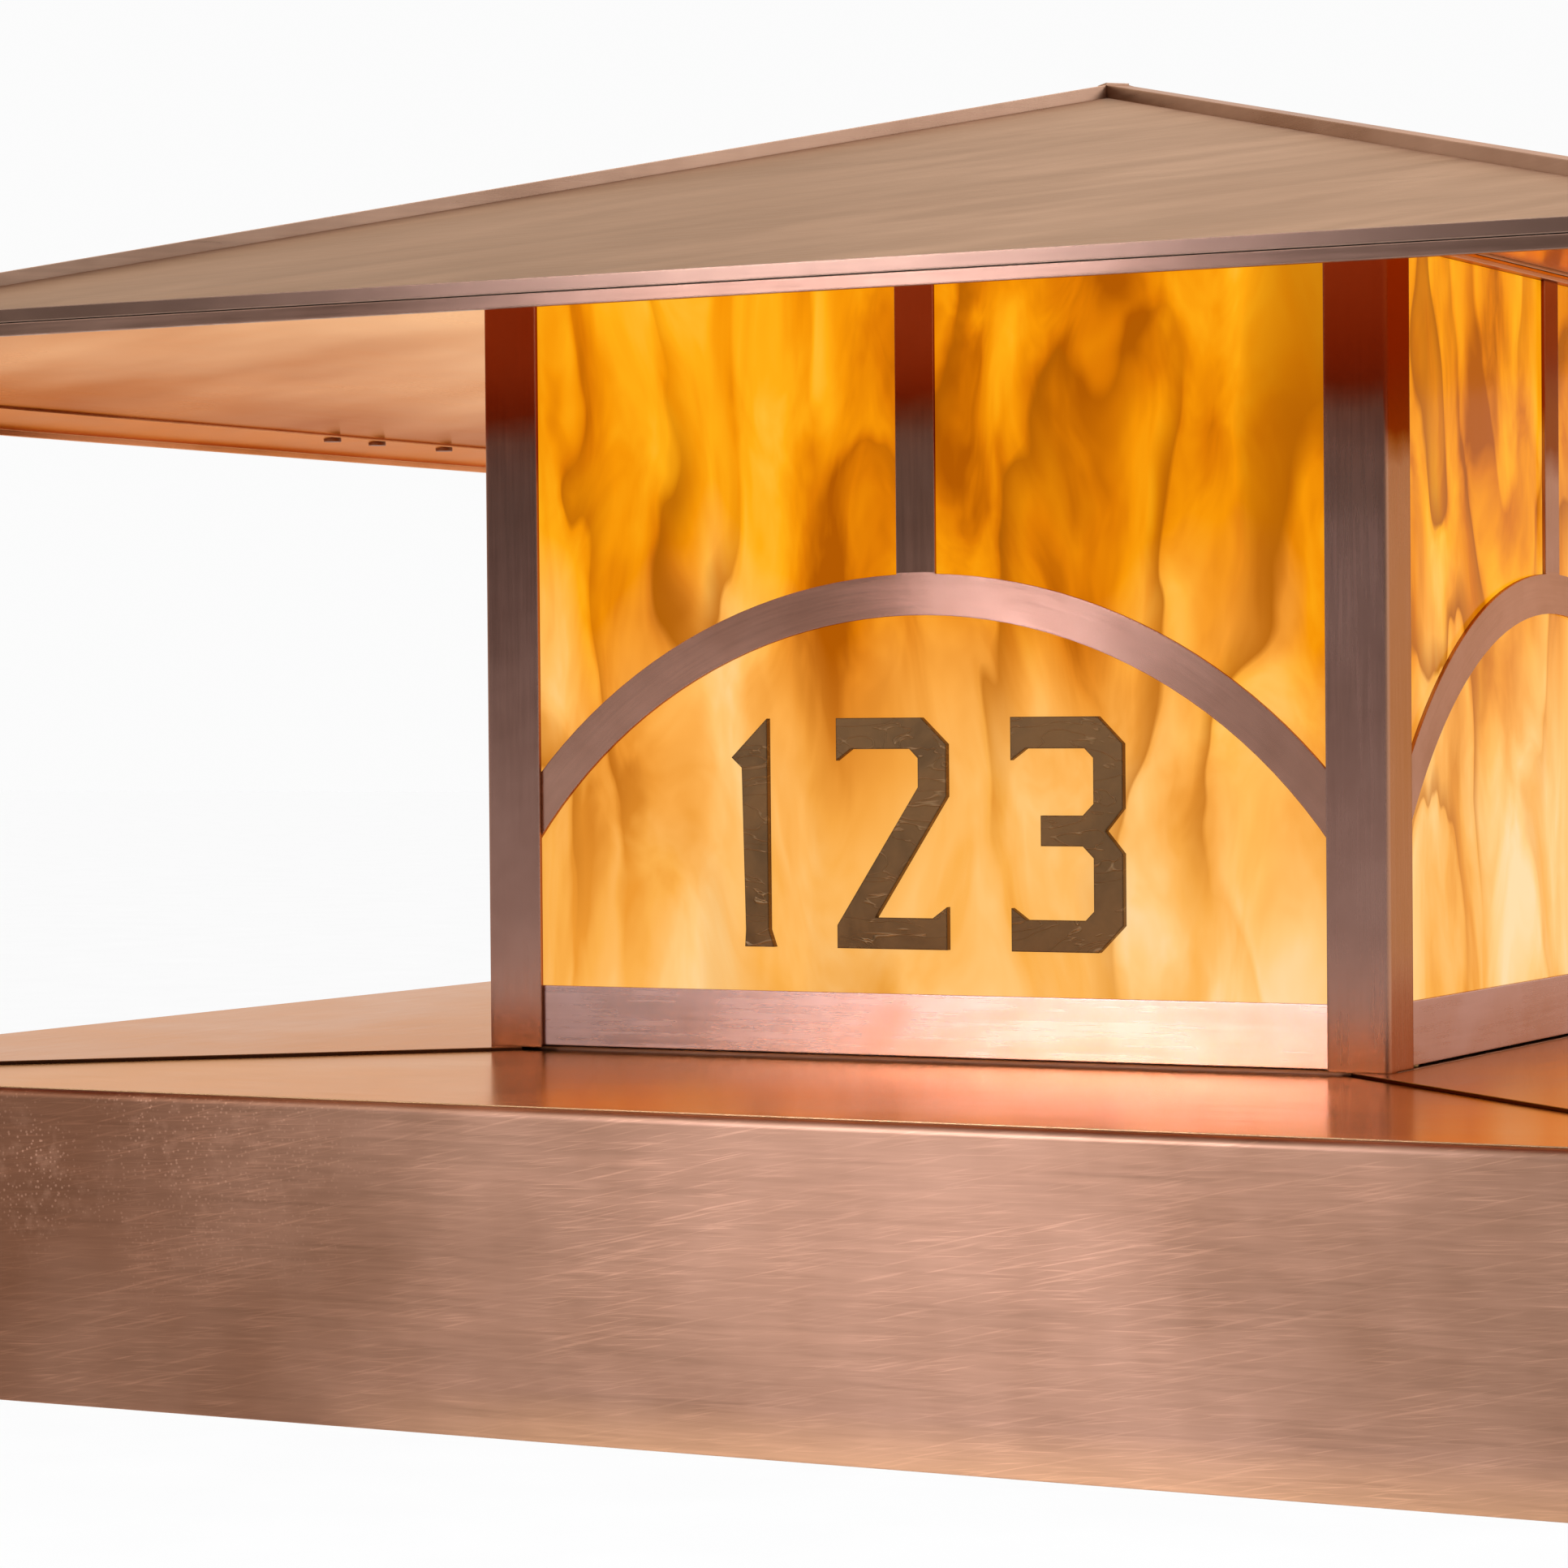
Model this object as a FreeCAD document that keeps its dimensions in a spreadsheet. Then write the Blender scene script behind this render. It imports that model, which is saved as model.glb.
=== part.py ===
import FreeCAD, Part
import math
import os

import Sketcher

# Wall mounted mailbox: a mail compartment with a lantern and a lift-off roof above it.
# Millimetres. +X is to the right and +Z up. The wall is the plane Y = 0 and the front faces -Y.
# Z = 0 is the level that the lantern's posts stand on.

# ---------------------------------------------------------------- driving dimensions
SIZES = {
    # lantern
    "lantern_width": 304.8,
    "wall_gap": 152.4,
    "post_leg": 19.3,
    "post_sheet": 1.5,
    "post_bend": 1.5,
    "post_height": 240.4,
    "overlay_sheet": 1.2,
    "overlay_foot": 20.0,
    "bar_width": 13.0,
    "arch_outer_radius": 177.4,
    "arch_inner_radius": 164.8,
    "arch_drop": 29.8,
    "rail_low": 0.8,
    "rail_high": 19.6,
    "rail_ledge": 9.0,
    "glass_sheet": 3.0,
    "glass_low": 2.5,
    "glass_high": 240.2,
    "clip_leg": 12.0,
    "clip_sheet": 0.8,
    "clip_height": 10.0,
    "frame_sheet": 1.2,
    "frame_inner": 133.8,
    "pad_side": 12.0,
    "pad_inset": 2.0,
    "pad_height": 0.9,
    "numeral_height": 70.6,
    "numeral_sheet": 2.3,
    "numeral_low": 33.3,
    # base
    "sheet": 1.0,
    "plate": 2.0,
    "front_drop": 1.1,
    "seam_inset": 12.4,
    "floor_recess": 6.0,
    "base_overhang": 182.4,
    "base_height": 92.0,
    "seam_gap": 0.8,
    "rod_radius": 1.5,
    "rod_clearance": 0.05,
    "roll_drop": 0.4,
    "nose_gap": 2.4,
    "return_depth": 10.0,
    "flap_gap": 0.5,
    "return_top": 6.6,
    "lip_height": 11.0,
    "strap_width": 8.0,
    "strap_length": 16.0,
    "strap_inner": 290.0,
    "strap_outer": 325.0,
    "bumper_radius": 4.0,
    "bumper_place": 250.0,
    "arm_flange": 26.0,
    "arm_sheet": 3.0,
    "arm_depth": 25.0,
    "arm_length": 600.0,
    "bolt_spacing": 240.0,
    "bolt_radius": 4.5,
    "bolt_low": 46.0,
    "inlet_low": 60.0,
    "bushing_radius": 8.0,
    "bushing_bore": 5.0,
    "bushing_flange": 10.0,
    # roof
    "roof_overhang": 262.9,
    "peak_height": 309.7,
    "roof_slope": 0.2677,
    "flare_slope": 0.1,
    "fascia_low": 208.4,
    "fascia_height": 7.2,
    "fold_height": 3.6,
    "groove": 0.3,
    "batten_width": 8.0,
    "batten_rise": 3.5,
    "soffit_sheet": 0.8,
    "soffit_low": 211.5,
    "soffit_inset": 3.0,
    "roof_seat": 243.8,
    "trim_flange": 32.0,
    "tack_radius": 3.4,
    "tack_height": 1.0,
    "collar_outer": 133.0,
    "collar_depth": 11.8,
    "wall_clearance": 0.2,
    # lamp
    "floor_hole": 5.2,
    "nipple_radius": 5.0,
    "nipple_bore": 3.5,
    "nipple_length": 36.0,
    "nut_radius": 9.0,
    "nut_height": 4.0,
    "socket_radius": 20.0,
    "socket_height": 46.0,
    "socket_low": 20.0,
    "socket_bore": 13.6,
    "socket_bore_depth": 26.0,
    "bulb_base_radius": 13.0,
    "bulb_radius": 30.0,
    "bulb_centre": 124.0,
    "bulb_neck": 42.0,
}
# the y of each solder tack on the side eaves, measured from the wall
TACK_PLACES = (193.0, 161.0, 111.0)
# the heights of the clips that hold the glass in each corner
CLIP_HEIGHTS = (34.0, 196.0)
SCREW_RADIUS = 2.0
SCREW_HEAD_RADIUS = 4.5
SCREW_HEAD_HEIGHT = 3.0
SCREW_INSET = 5.4
SCREW_PLACE = 120.0
# clearances between neighbouring sub-parts
HAIR = 0.1
TOUCH = 0.3
# how far a cutting tool runs past what it cuts
PAST = 1.0
FAR = 2000.0
# how far the lamp's nipple screws into the socket
NIPPLE_GRIP = 4.0
# how wide the bulb's neck is where it meets the globe
BULB_NECK_SHARE = 0.87
# how far a roof strip runs past the eave before its mitres are cut, and how far the cut runs
EAVE_SPARE = 20.0
MITRE_SPARE = 40.0
# how far the roof panels' slot for a hip batten stops short of the corner
SLOT_STOP = 4.0
# half the gap in the seams between soffits, and between the trims' ends
SOFFIT_SEAM = 0.15
TRIM_SEAM = 0.05
# how far the gable's lower corners stand in from the break of the roof
GABLE_INSET = 16.0
TACK_INSET = 4.0

doc = FreeCAD.newDocument("mailbox")
sheet_cells = doc.addObject("Spreadsheet::Sheet", "Sizes")
for row, (alias, value) in enumerate(SIZES.items(), start=1):
    sheet_cells.set(f"A{row}", alias)
    sheet_cells.set(f"B{row}", str(value))
    sheet_cells.setAlias(f"B{row}", alias)
doc.recompute()


class Size:
    """A length: its number now, and the formula on the sheet's cells that gives it."""

    def __init__(self, number, formula):
        self.number = number
        self.formula = formula

    def joined(self, other, sign, number):
        return Size(number, f"({self.formula} {sign} {as_size(other).formula})")

    def __add__(self, other):
        return self.joined(other, "+", self.number + as_size(other).number)

    def __sub__(self, other):
        return self.joined(other, "-", self.number - as_size(other).number)

    def __mul__(self, other):
        return self.joined(other, "*", self.number * as_size(other).number)

    def __truediv__(self, other):
        return self.joined(other, "/", self.number / as_size(other).number)

    def __neg__(self):
        return Size(-self.number, f"(0 - {self.formula})")

    def __radd__(self, other):
        return as_size(other) + self

    def __rsub__(self, other):
        return as_size(other) - self

    def __rmul__(self, other):
        return as_size(other) * self


def as_size(value):
    if isinstance(value, Size):
        return value
    return Size(float(value), f"({float(value):.6f})")


def cell(alias):
    return Size(SIZES[alias], f"Sizes.{alias}")


# ---------------------------------------------------------------- derived dimensions
SHEET = cell("sheet")
PLATE = cell("plate")
HALF = cell("lantern_width") / 2
AXIS_Y = -(HALF + cell("wall_gap"))
LANTERN_FRONT = -(cell("lantern_width") + cell("wall_gap"))
LANTERN_BACK = -cell("wall_gap")
BASE_HALF = HALF + cell("base_overhang")
BASE_FRONT = LANTERN_FRONT - cell("base_overhang")
BASE_LOW = -cell("base_height")
ROLL_RADIUS = cell("rod_radius") + cell("rod_clearance") + SHEET
HINGE_Y = BASE_FRONT + ROLL_RADIUS
FRONT_TOP = -cell("front_drop")
TOP_SHEET = SHEET + cell("front_drop")
FRAME_TOP = -TOP_SHEET
HINGE_Z = FRONT_TOP - (cell("roll_drop") + ROLL_RADIUS)
TOP_FRONT_EDGE = HINGE_Y + cell("nose_gap")
BOX_FRONT = BASE_FRONT + SHEET + cell("return_depth") + cell("flap_gap")
POST_HEIGHT = cell("post_height")
POST_LEG = cell("post_leg")
EAVE = HALF + cell("roof_overhang")
EAVE_TOP = cell("fascia_low") + cell("fascia_height")
ROOF_SLOPE = cell("roof_slope")
FLARE_SLOPE = cell("flare_slope")
BREAK = (cell("peak_height") - EAVE_TOP - FLARE_SLOPE * EAVE) / (ROOF_SLOPE - FLARE_SLOPE)
BREAK_TOP = cell("peak_height") - ROOF_SLOPE * BREAK
WALL_Y = HALF + cell("wall_gap")
BATTEN_HALF = cell("batten_width") / 2
FLOOR_FRONT = LANTERN_FRONT + cell("floor_recess")
ARM_START = HALF - cell("arm_flange") / 2
SOCKET_BORE_LOW = cell("socket_low") + cell("socket_height") - cell("socket_bore_depth")
SOFFIT_OUTER = EAVE - cell("soffit_inset")
SOFFIT_SLOPE = (cell("roof_seat") - cell("soffit_low")) / (SOFFIT_OUTER - HALF)

nodes = []


# ---------------------------------------------------------------- tools for making objects
def bind(target, prop, value):
    target.setExpression(prop, as_size(value).formula)


def node(item, name):
    """Name a finished sub-part; its label is also the name of its file."""
    item.Label = name
    nodes.append(item)
    return item


def place(item, x=0.0, y=0.0, z=0.0, axis=(0, 0, 1), angle=0.0):
    """Turn an object about its own origin and move that origin to x, y, z."""
    turn = FreeCAD.Rotation(FreeCAD.Vector(*axis), angle)
    point = [as_size(value) for value in (x, y, z)]
    item.Placement = FreeCAD.Placement(FreeCAD.Vector(*[value.number for value in point]), turn)
    for letter, value in zip("xyz", point):
        bind(item, f"Placement.Base.{letter}", value)
    return item


def block(low, high):
    """A box between two corners."""
    item = doc.addObject("Part::Box", "block")
    for prop, start, end in zip(("Length", "Width", "Height"), low, high):
        bind(item, prop, as_size(end) - start)
    return place(item, *low)


def cylinder(radius, length, x, y, z, along="Z"):
    """A cylinder that starts at x, y, z and runs in the positive direction of an axis."""
    item = doc.addObject("Part::Cylinder", "cylinder")
    bind(item, "Radius", radius)
    bind(item, "Height", length)
    turns = {"X": ((0, 1, 0), 90), "Y": ((1, 0, 0), -90), "Z": ((0, 0, 1), 0)}
    axis, angle = turns[along]
    return place(item, x, y, z, axis, angle)


def fuse(*items):
    item = doc.addObject("Part::MultiFuse", "fuse")
    item.Shapes = list(items)
    return item


def cut(base, *tools):
    item = doc.addObject("Part::Cut", "cut")
    item.Base = base
    item.Tool = tools[0] if len(tools) == 1 else fuse(*tools)
    return item


def common(first, second):
    item = doc.addObject("Part::MultiCommon", "common")
    item.Shapes = [first, second]
    return item


def group(items):
    """Identical pieces that share one node as separate solids."""
    item = doc.addObject("Part::Compound", "group")
    item.Links = list(items)
    return item


def arc_edge(start, end, centre, clockwise):
    """The arc from start to end about centre, and which of its ends comes first."""
    radius = (start - centre).Length
    circle = Part.Circle(centre, FreeCAD.Vector(0, 0, 1), radius)
    first, last = (end, start) if clockwise else (start, end)
    angles = [math.atan2(point.y - centre.y, point.x - centre.x) for point in (first, last)]
    if angles[1] <= angles[0]:
        angles[1] += 2 * math.pi
    return Part.ArcOfCircle(circle, *angles), (2, 1) if clockwise else (1, 2)


def add_outline(sketch, points, arcs):
    """Draw a closed outline whose corners are all held by the sheet's sizes.

    arcs gives, for the edge after a corner, the arc's centre, radius and sense.
    """
    corners = [FreeCAD.Vector(as_size(u).number, as_size(v).number, 0) for u, v in points]
    first = sketch.GeometryCount
    orders = []
    for index, corner in enumerate(corners):
        after = corners[(index + 1) % len(corners)]
        edge, order = Part.LineSegment(corner, after), (1, 2)
        if index in arcs:
            centre = FreeCAD.Vector(*[as_size(value).number for value in arcs[index][0]], 0)
            edge, order = arc_edge(corner, after, centre, arcs[index][2])
        sketch.addGeometry(edge, False)
        orders.append(order)
    for index, (u, v) in enumerate(points):
        edge, after = first + index, first + (index + 1) % len(points)
        start, end = orders[index][0], orders[index][1]
        sketch.addConstraint(
            Sketcher.Constraint("Coincident", edge, end, after, orders[after - first][0]))
        for kind, value in (("DistanceX", as_size(u)), ("DistanceY", as_size(v))):
            held = sketch.addConstraint(
                Sketcher.Constraint(kind, -1, 1, edge, start, value.number))
            bind(sketch, f"Constraints[{held}]", value)
    for index, (centre, radius, clockwise) in arcs.items():
        held = sketch.addConstraint(
            Sketcher.Constraint("Radius", first + index, as_size(radius).number))
        bind(sketch, f"Constraints[{held}]", radius)


def sketch_on(body, role, points, arcs, offset):
    """A sketch on one of the body's own origin planes, moved along the plane's normal."""
    sketch = body.newObject("Sketcher::SketchObject", "outline")
    plane = [item for item in body.Origin.OriginFeatures if item.Role == role][0]
    sketch.AttachmentSupport = [(plane, "")]
    sketch.MapMode = "FlatFace"
    bind(sketch, "AttachmentOffset.Base.z", offset)
    add_outline(sketch, points, arcs)
    return sketch


def prism(role, points, length, offset=0.0, arcs=None, midplane=False):
    """A body padded from one closed outline.

    The pad runs along the plane's normal: +Z on XY_Plane, -Y on XZ_Plane and +X on YZ_Plane.
    """
    body = doc.addObject("PartDesign::Body", "body")
    sketch = sketch_on(body, role, points, arcs or {}, offset)
    pad = body.newObject("PartDesign::Pad", "pad")
    pad.Profile = sketch
    bind(pad, "Length", length)
    pad.Midplane = midplane
    body.Tip = pad
    return body


def slab(low, high):
    """A box between two corners, as a body that can be turned about the origin."""
    outline = [(low[0], low[1]), (high[0], low[1]), (high[0], high[1]), (low[0], high[1])]
    return prism("XY_Plane", outline, as_size(high[2]) - low[2], low[2])


def trim(body, role, points):
    """Cut away, right through the body both ways, everything inside an outline."""
    doc.recompute()
    before = body.Shape.Volume
    sketch = sketch_on(body, role, points, {}, 0.0)
    pocket = body.newObject("PartDesign::Pocket", "pocket")
    pocket.Profile = sketch
    pocket.Length = FAR
    pocket.Midplane = True
    body.Tip = pocket
    doc.recompute()
    if not body.Shape.Volume < before:
        raise ValueError("a pocket cut nothing")
    return body


# ---------------------------------------------------------------- back and base
def make_back_plate():
    outline = [(-BASE_HALF, BASE_LOW), (BASE_HALF, BASE_LOW), (BASE_HALF, 0), (HALF, 0),
               (HALF, POST_HEIGHT), (-HALF, POST_HEIGHT), (-HALF, 0), (-BASE_HALF, 0)]
    plate = prism("XZ_Plane", outline, PLATE)
    half_spacing = cell("bolt_spacing") / 2
    low = -cell("bolt_low")
    start, length = -PLATE - PAST, PLATE + 2 * PAST
    holes = [cylinder(cell("bolt_radius"), length, x, start, z, "Y")
             for x in (-half_spacing, half_spacing) for z in (low, low + cell("bolt_spacing"))]
    inlet = cylinder(cell("bushing_radius"), length, 0, start, -cell("inlet_low"), "Y")
    node(cut(plate, *holes, inlet), "back_plate")


def make_bushing():
    """The rubber bushing in the cable's hole: a sleeve in the plate and a flange in front of it."""
    low = -cell("inlet_low")
    flange = cylinder(cell("bushing_flange"), PLATE, 0, -2 * PLATE, low, "Y")
    sleeve = cylinder(cell("bushing_radius"), PLATE, 0, -PLATE, low, "Y")
    bore = cylinder(cell("bushing_bore"), 2 * PLATE + 2 * PAST, 0, -2 * PLATE - PAST, low, "Y")
    node(cut(fuse(flange, sleeve), bore), "cable_bushing")


def make_base_sides():
    for side, name in ((-1, "base_side_left"), (1, "base_side_right")):
        low_x, high_x = sorted((side * (BASE_HALF - SHEET), side * BASE_HALF), key=lambda size: size.number)
        wall = block((low_x, BOX_FRONT, BASE_LOW), (high_x, -PLATE, FRAME_TOP))
        node(wall, name)


def make_base_floor():
    """The floor, with a lip along its front that the flap closes over."""
    inside = BASE_HALF - SHEET
    lip_top = BASE_LOW + cell("lip_height")
    pan = block((-inside, BOX_FRONT, BASE_LOW), (inside, -PLATE, BASE_LOW + SHEET))
    lip = block((-inside, BOX_FRONT, BASE_LOW), (inside, BOX_FRONT + SHEET, lip_top))
    node(fuse(pan, lip), "base_floor")


def make_base_top():
    """Flat panels round the lantern's foot. The front one lies lower than its neighbours.

    The seams between them run from the lantern's front to the front corners of the base.
    """
    gap = cell("seam_gap") / 2
    foot = HALF + gap
    start = HALF - cell("seam_inset")
    corner = HALF + (LANTERN_FRONT - TOP_FRONT_EDGE)
    back = FLOOR_FRONT - gap
    right = [(corner - gap, TOP_FRONT_EDGE), (start - gap, LANTERN_FRONT), (start - gap, back)]
    left = [(-across, along) for across, along in reversed(right)]
    node(prism("XY_Plane", left + right, SHEET, FRAME_TOP), "top_front")
    outline = [(foot, -PLATE), (foot, back), (start + gap, back), (start + gap, LANTERN_FRONT),
               (corner + gap, TOP_FRONT_EDGE), (BASE_HALF, TOP_FRONT_EDGE), (BASE_HALF, -PLATE)]
    for side, name in ((-1, "top_left"), (1, "top_right")):
        points = [(side * across, along) for across, along in outline]
        node(prism("XY_Plane", points, TOP_SHEET, FRAME_TOP), name)
    node(block((-HALF + gap, LANTERN_BACK + gap, FRAME_TOP), (HALF - gap, -PLATE, 0)), "top_back")


def make_support_frame():
    """Steel angles under the seams carry the lantern's weight back to the plate."""
    flange, sheet = cell("arm_flange"), cell("arm_sheet")
    top = FRAME_TOP
    low = top - cell("arm_depth")
    outline = [(ARM_START, top), (ARM_START + flange, top), (ARM_START + flange, top - sheet),
               (ARM_START + sheet, top - sheet), (ARM_START + sheet, low), (ARM_START, low)]
    for side, name in ((-1, "support_arm_left"), (1, "support_arm_right")):
        points = [(side * across, up) for across, up in outline]
        node(prism("XZ_Plane", points, cell("arm_length"), PLATE), name)
    front, back = LANTERN_FRONT - flange / 2, LANTERN_FRONT + flange / 2
    outline = [(front, top), (back, top), (back, low), (back - sheet, low),
               (back - sheet, top - sheet), (front, top - sheet)]
    node(prism("YZ_Plane", outline, 2 * ARM_START, 0.0, None, True), "cross_bar")


# ---------------------------------------------------------------- mail flap and hinge
def make_mail_flap():
    """A shallow pan whose top edge is rolled round the hinge rod."""
    inner_radius = ROLL_RADIUS - SHEET
    tail = math.sqrt(0.5)
    back = BASE_FRONT + SHEET + cell("return_depth")
    centre = (HINGE_Y, HINGE_Z)
    outline = [(BASE_FRONT, BASE_LOW), (BASE_FRONT, HINGE_Z),
               (HINGE_Y + ROLL_RADIUS * tail, HINGE_Z - ROLL_RADIUS * tail),
               (HINGE_Y + inner_radius * tail, HINGE_Z - inner_radius * tail),
               (BASE_FRONT + SHEET, HINGE_Z), (BASE_FRONT + SHEET, BASE_LOW + SHEET),
               (back, BASE_LOW + SHEET), (back, BASE_LOW)]
    arcs = {1: (centre, ROLL_RADIUS, True), 3: (centre, inner_radius, False)}
    skin = prism("YZ_Plane", outline, 2 * BASE_HALF, 0.0, arcs, True)
    returns = [block((x, BASE_FRONT, BASE_LOW), (x + SHEET, back, -cell("return_top")))
               for x in (-BASE_HALF, BASE_HALF - SHEET)]
    half = cell("strap_width") / 2 + cell("flap_gap")
    low = HINGE_Z - ROLL_RADIUS - PAST
    notches = [block((x - half, BASE_FRONT - PAST, low), (x + half, back, 0)) for x in strap_places()]
    node(cut(fuse(skin, *returns), *notches), "mail_flap")


def strap_places():
    return [side * across for side in (-1, 1) for across in (cell("strap_inner"), cell("strap_outer"))]


def make_hinge():
    """The rod, and the straps under the top panels whose eyes hold it."""
    start = -(BASE_HALF - SHEET)
    node(cylinder(cell("rod_radius"), -2 * start, start, HINGE_Y, HINGE_Z, "X"), "hinge_rod")
    straps = []
    half = cell("strap_width") / 2
    for x in strap_places():
        eye = cylinder(ROLL_RADIUS - HAIR, 2 * half, x - half, HINGE_Y, HINGE_Z, "X")
        tongue = block((x - half, HINGE_Y, FRAME_TOP - SHEET),
                       (x + half, HINGE_Y + cell("strap_length"), FRAME_TOP))
        bore = cylinder(cell("rod_radius"), 2 * half + 2 * PAST, x - half - PAST, HINGE_Y, HINGE_Z, "X")
        straps.append(cut(fuse(eye, tongue), bore))
    node(group(straps), "hinge_straps")


def make_bumpers():
    """Rubber stops on the floor's lip, which the closed flap comes to rest on."""
    front = BASE_FRONT + SHEET + TOUCH
    radius = cell("bumper_radius")
    height = BASE_LOW + cell("lip_height") - radius - SHEET
    stops = [cylinder(radius, BOX_FRONT - front, side * cell("bumper_place"), front, height, "Y")
             for side in (-1, 1)]
    node(group(stops), "flap_bumpers")


# ---------------------------------------------------------------- lantern
def on_lantern(item, angle=0.0):
    """Turn a piece made round the lantern's own axis, and move it to that axis."""
    return place(item, 0, AXIS_Y, 0, (0, 0, 1), angle)


def make_posts():
    """Bent angles at the corners, with a rounded bend."""
    bend, sheet = cell("post_bend"), cell("post_sheet")
    edge = -HALF
    outline = [(edge + bend, edge), (edge + POST_LEG, edge), (edge + POST_LEG, edge + sheet),
               (edge + sheet, edge + sheet), (edge + sheet, edge + POST_LEG), (edge, edge + POST_LEG),
               (edge, edge + bend)]
    arcs = {6: ((edge + bend, edge + bend), bend, False)}
    corners = (("front_left", 0), ("front_right", 90), ("back_right", 180), ("back_left", 270))
    for name, angle in corners:
        post = prism("XY_Plane", outline, POST_HEIGHT, 0.0, arcs)
        node(on_lantern(post, angle), f"post_{name}")


def make_rails():
    """Bottom rails: angles with a ledge that the glass stands on, and a lip down to the floor."""
    sheet = cell("post_sheet")
    outer = -HALF + sheet
    inner = -HALF + cell("rail_ledge")
    low, high = cell("rail_low"), cell("rail_high")
    outline = [(outer, low), (inner - sheet, low), (inner - sheet, 0), (inner, 0), (inner, low + sheet),
               (outer + sheet, low + sheet), (outer + sheet, high), (outer, high)]
    length = 2 * (HALF - cell("rail_ledge") - HAIR)
    for name, angle in (("front", 0), ("right", 90), ("back", 180), ("left", 270)):
        rail = prism("YZ_Plane", outline, length, 0.0, None, True)
        node(on_lantern(rail, angle), f"rail_{name}")


def make_overlay():
    """The cut sheet in front of a pane: side strips, an arch and a bar above the arch."""
    sheet = cell("overlay_sheet")
    front = -HALF + cell("post_sheet")
    back = front + sheet
    outer = HALF - cell("post_sheet") - sheet - HAIR
    inner = HALF - POST_LEG + sheet
    foot = cell("overlay_foot")
    window = block((-outer, front, foot), (outer, back, POST_HEIGHT))
    centre = -cell("arch_drop")
    disc = cylinder(cell("arch_outer_radius"), sheet, 0, front, centre, "Y")
    hole = cylinder(cell("arch_inner_radius"), sheet + 2 * PAST, 0, front - PAST, centre, "Y")
    arch = common(cut(disc, hole), window)
    strips = [block((x, front, foot), (x + outer - inner, back, POST_HEIGHT)) for x in (-outer, inner)]
    half_bar = cell("bar_width") / 2
    bar_low = (cell("arch_outer_radius") + cell("arch_inner_radius")) / 2 - cell("arch_drop")
    bar = block((-half_bar, front, bar_low), (half_bar, back, POST_HEIGHT))
    return fuse(arch, *strips, bar)


def make_faces():
    """Glass and overlay on three sides; the side next to the wall is a plain panel."""
    glass_front = -HALF + 2 * cell("post_sheet")
    glass_half = HALF - 2 * cell("post_sheet") - cell("glass_sheet") - HAIR
    for name, angle in (("front", 0), ("right", 90), ("left", 270)):
        node(on_lantern(make_overlay(), angle), f"overlay_{name}")
        pane = slab((-glass_half, glass_front, cell("glass_low")),
                    (glass_half, glass_front + cell("glass_sheet"), cell("glass_high")))
        node(on_lantern(pane, angle), f"glass_{name}")
    panel_front = -HALF + cell("post_sheet")
    panel_half = HALF - cell("post_sheet") - cell("overlay_sheet") - HAIR
    panel = slab((-panel_half, panel_front, cell("overlay_foot")),
                 (panel_half, panel_front + SHEET, POST_HEIGHT))
    node(on_lantern(panel, 180), "lantern_back_panel")


def make_clips():
    """Small angles in the corners, which hold the panes against the overlays."""
    corner = -HALF + 2 * cell("post_sheet") + cell("glass_sheet")
    leg, sheet = cell("clip_leg"), cell("clip_sheet")
    outline = [(corner, corner), (corner + leg, corner), (corner + leg, corner + sheet),
               (corner + sheet, corner + sheet), (corner + sheet, corner + leg), (corner, corner + leg)]
    clips = [on_lantern(prism("XY_Plane", outline, cell("clip_height"), height), 90 * quarter)
             for quarter in range(4) for height in CLIP_HEIGHTS]
    node(group(clips), "glass_clips")


def make_lantern_frame():
    """The lantern's floor, the frame on top of its posts and the pads that the roof rests on."""
    floor = cut(block((-HALF, FLOOR_FRONT - AXIS_Y, FRAME_TOP), (HALF, HALF, 0)),
                cylinder(cell("floor_hole"), TOP_SHEET + 2 * PAST, 0, 0, FRAME_TOP - PAST))
    node(on_lantern(floor), "lantern_floor")
    inner = cell("frame_inner")
    top = POST_HEIGHT + cell("frame_sheet")
    ring = cut(block((-HALF, -HALF, POST_HEIGHT), (HALF, HALF, top)),
               block((-inner, -inner, POST_HEIGHT - PAST), (inner, inner, top + PAST)))
    node(on_lantern(ring), "lantern_top_frame")
    end = HALF - cell("pad_inset")
    start = end - cell("pad_side")
    pads = [on_lantern(slab((start, start, top), (end, end, top + cell("pad_height"))), 90 * quarter)
            for quarter in range(4)]
    node(group(pads), "roof_seat_pads")


def make_lantern_screws():
    """Pan-head screws from below, through the arms and the lantern floor into the side rails."""
    screws = []
    shank_low = FRAME_TOP - cell("arm_sheet")
    length = cell("rail_low") + cell("post_sheet") - shank_low
    x = HALF - SCREW_INSET
    for side_x in (-1, 1):
        for side_y in (-1, 1):
            place_x, place_y = side_x * x, side_y * SCREW_PLACE
            head_low = shank_low - SCREW_HEAD_HEIGHT
            head = cylinder(SCREW_HEAD_RADIUS, SCREW_HEAD_HEIGHT, place_x, place_y, head_low)
            shank = cylinder(SCREW_RADIUS, length, place_x, place_y, shank_low)
            screws.append(on_lantern(fuse(head, shank)))
    node(group(screws), "lantern_screws")


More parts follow.
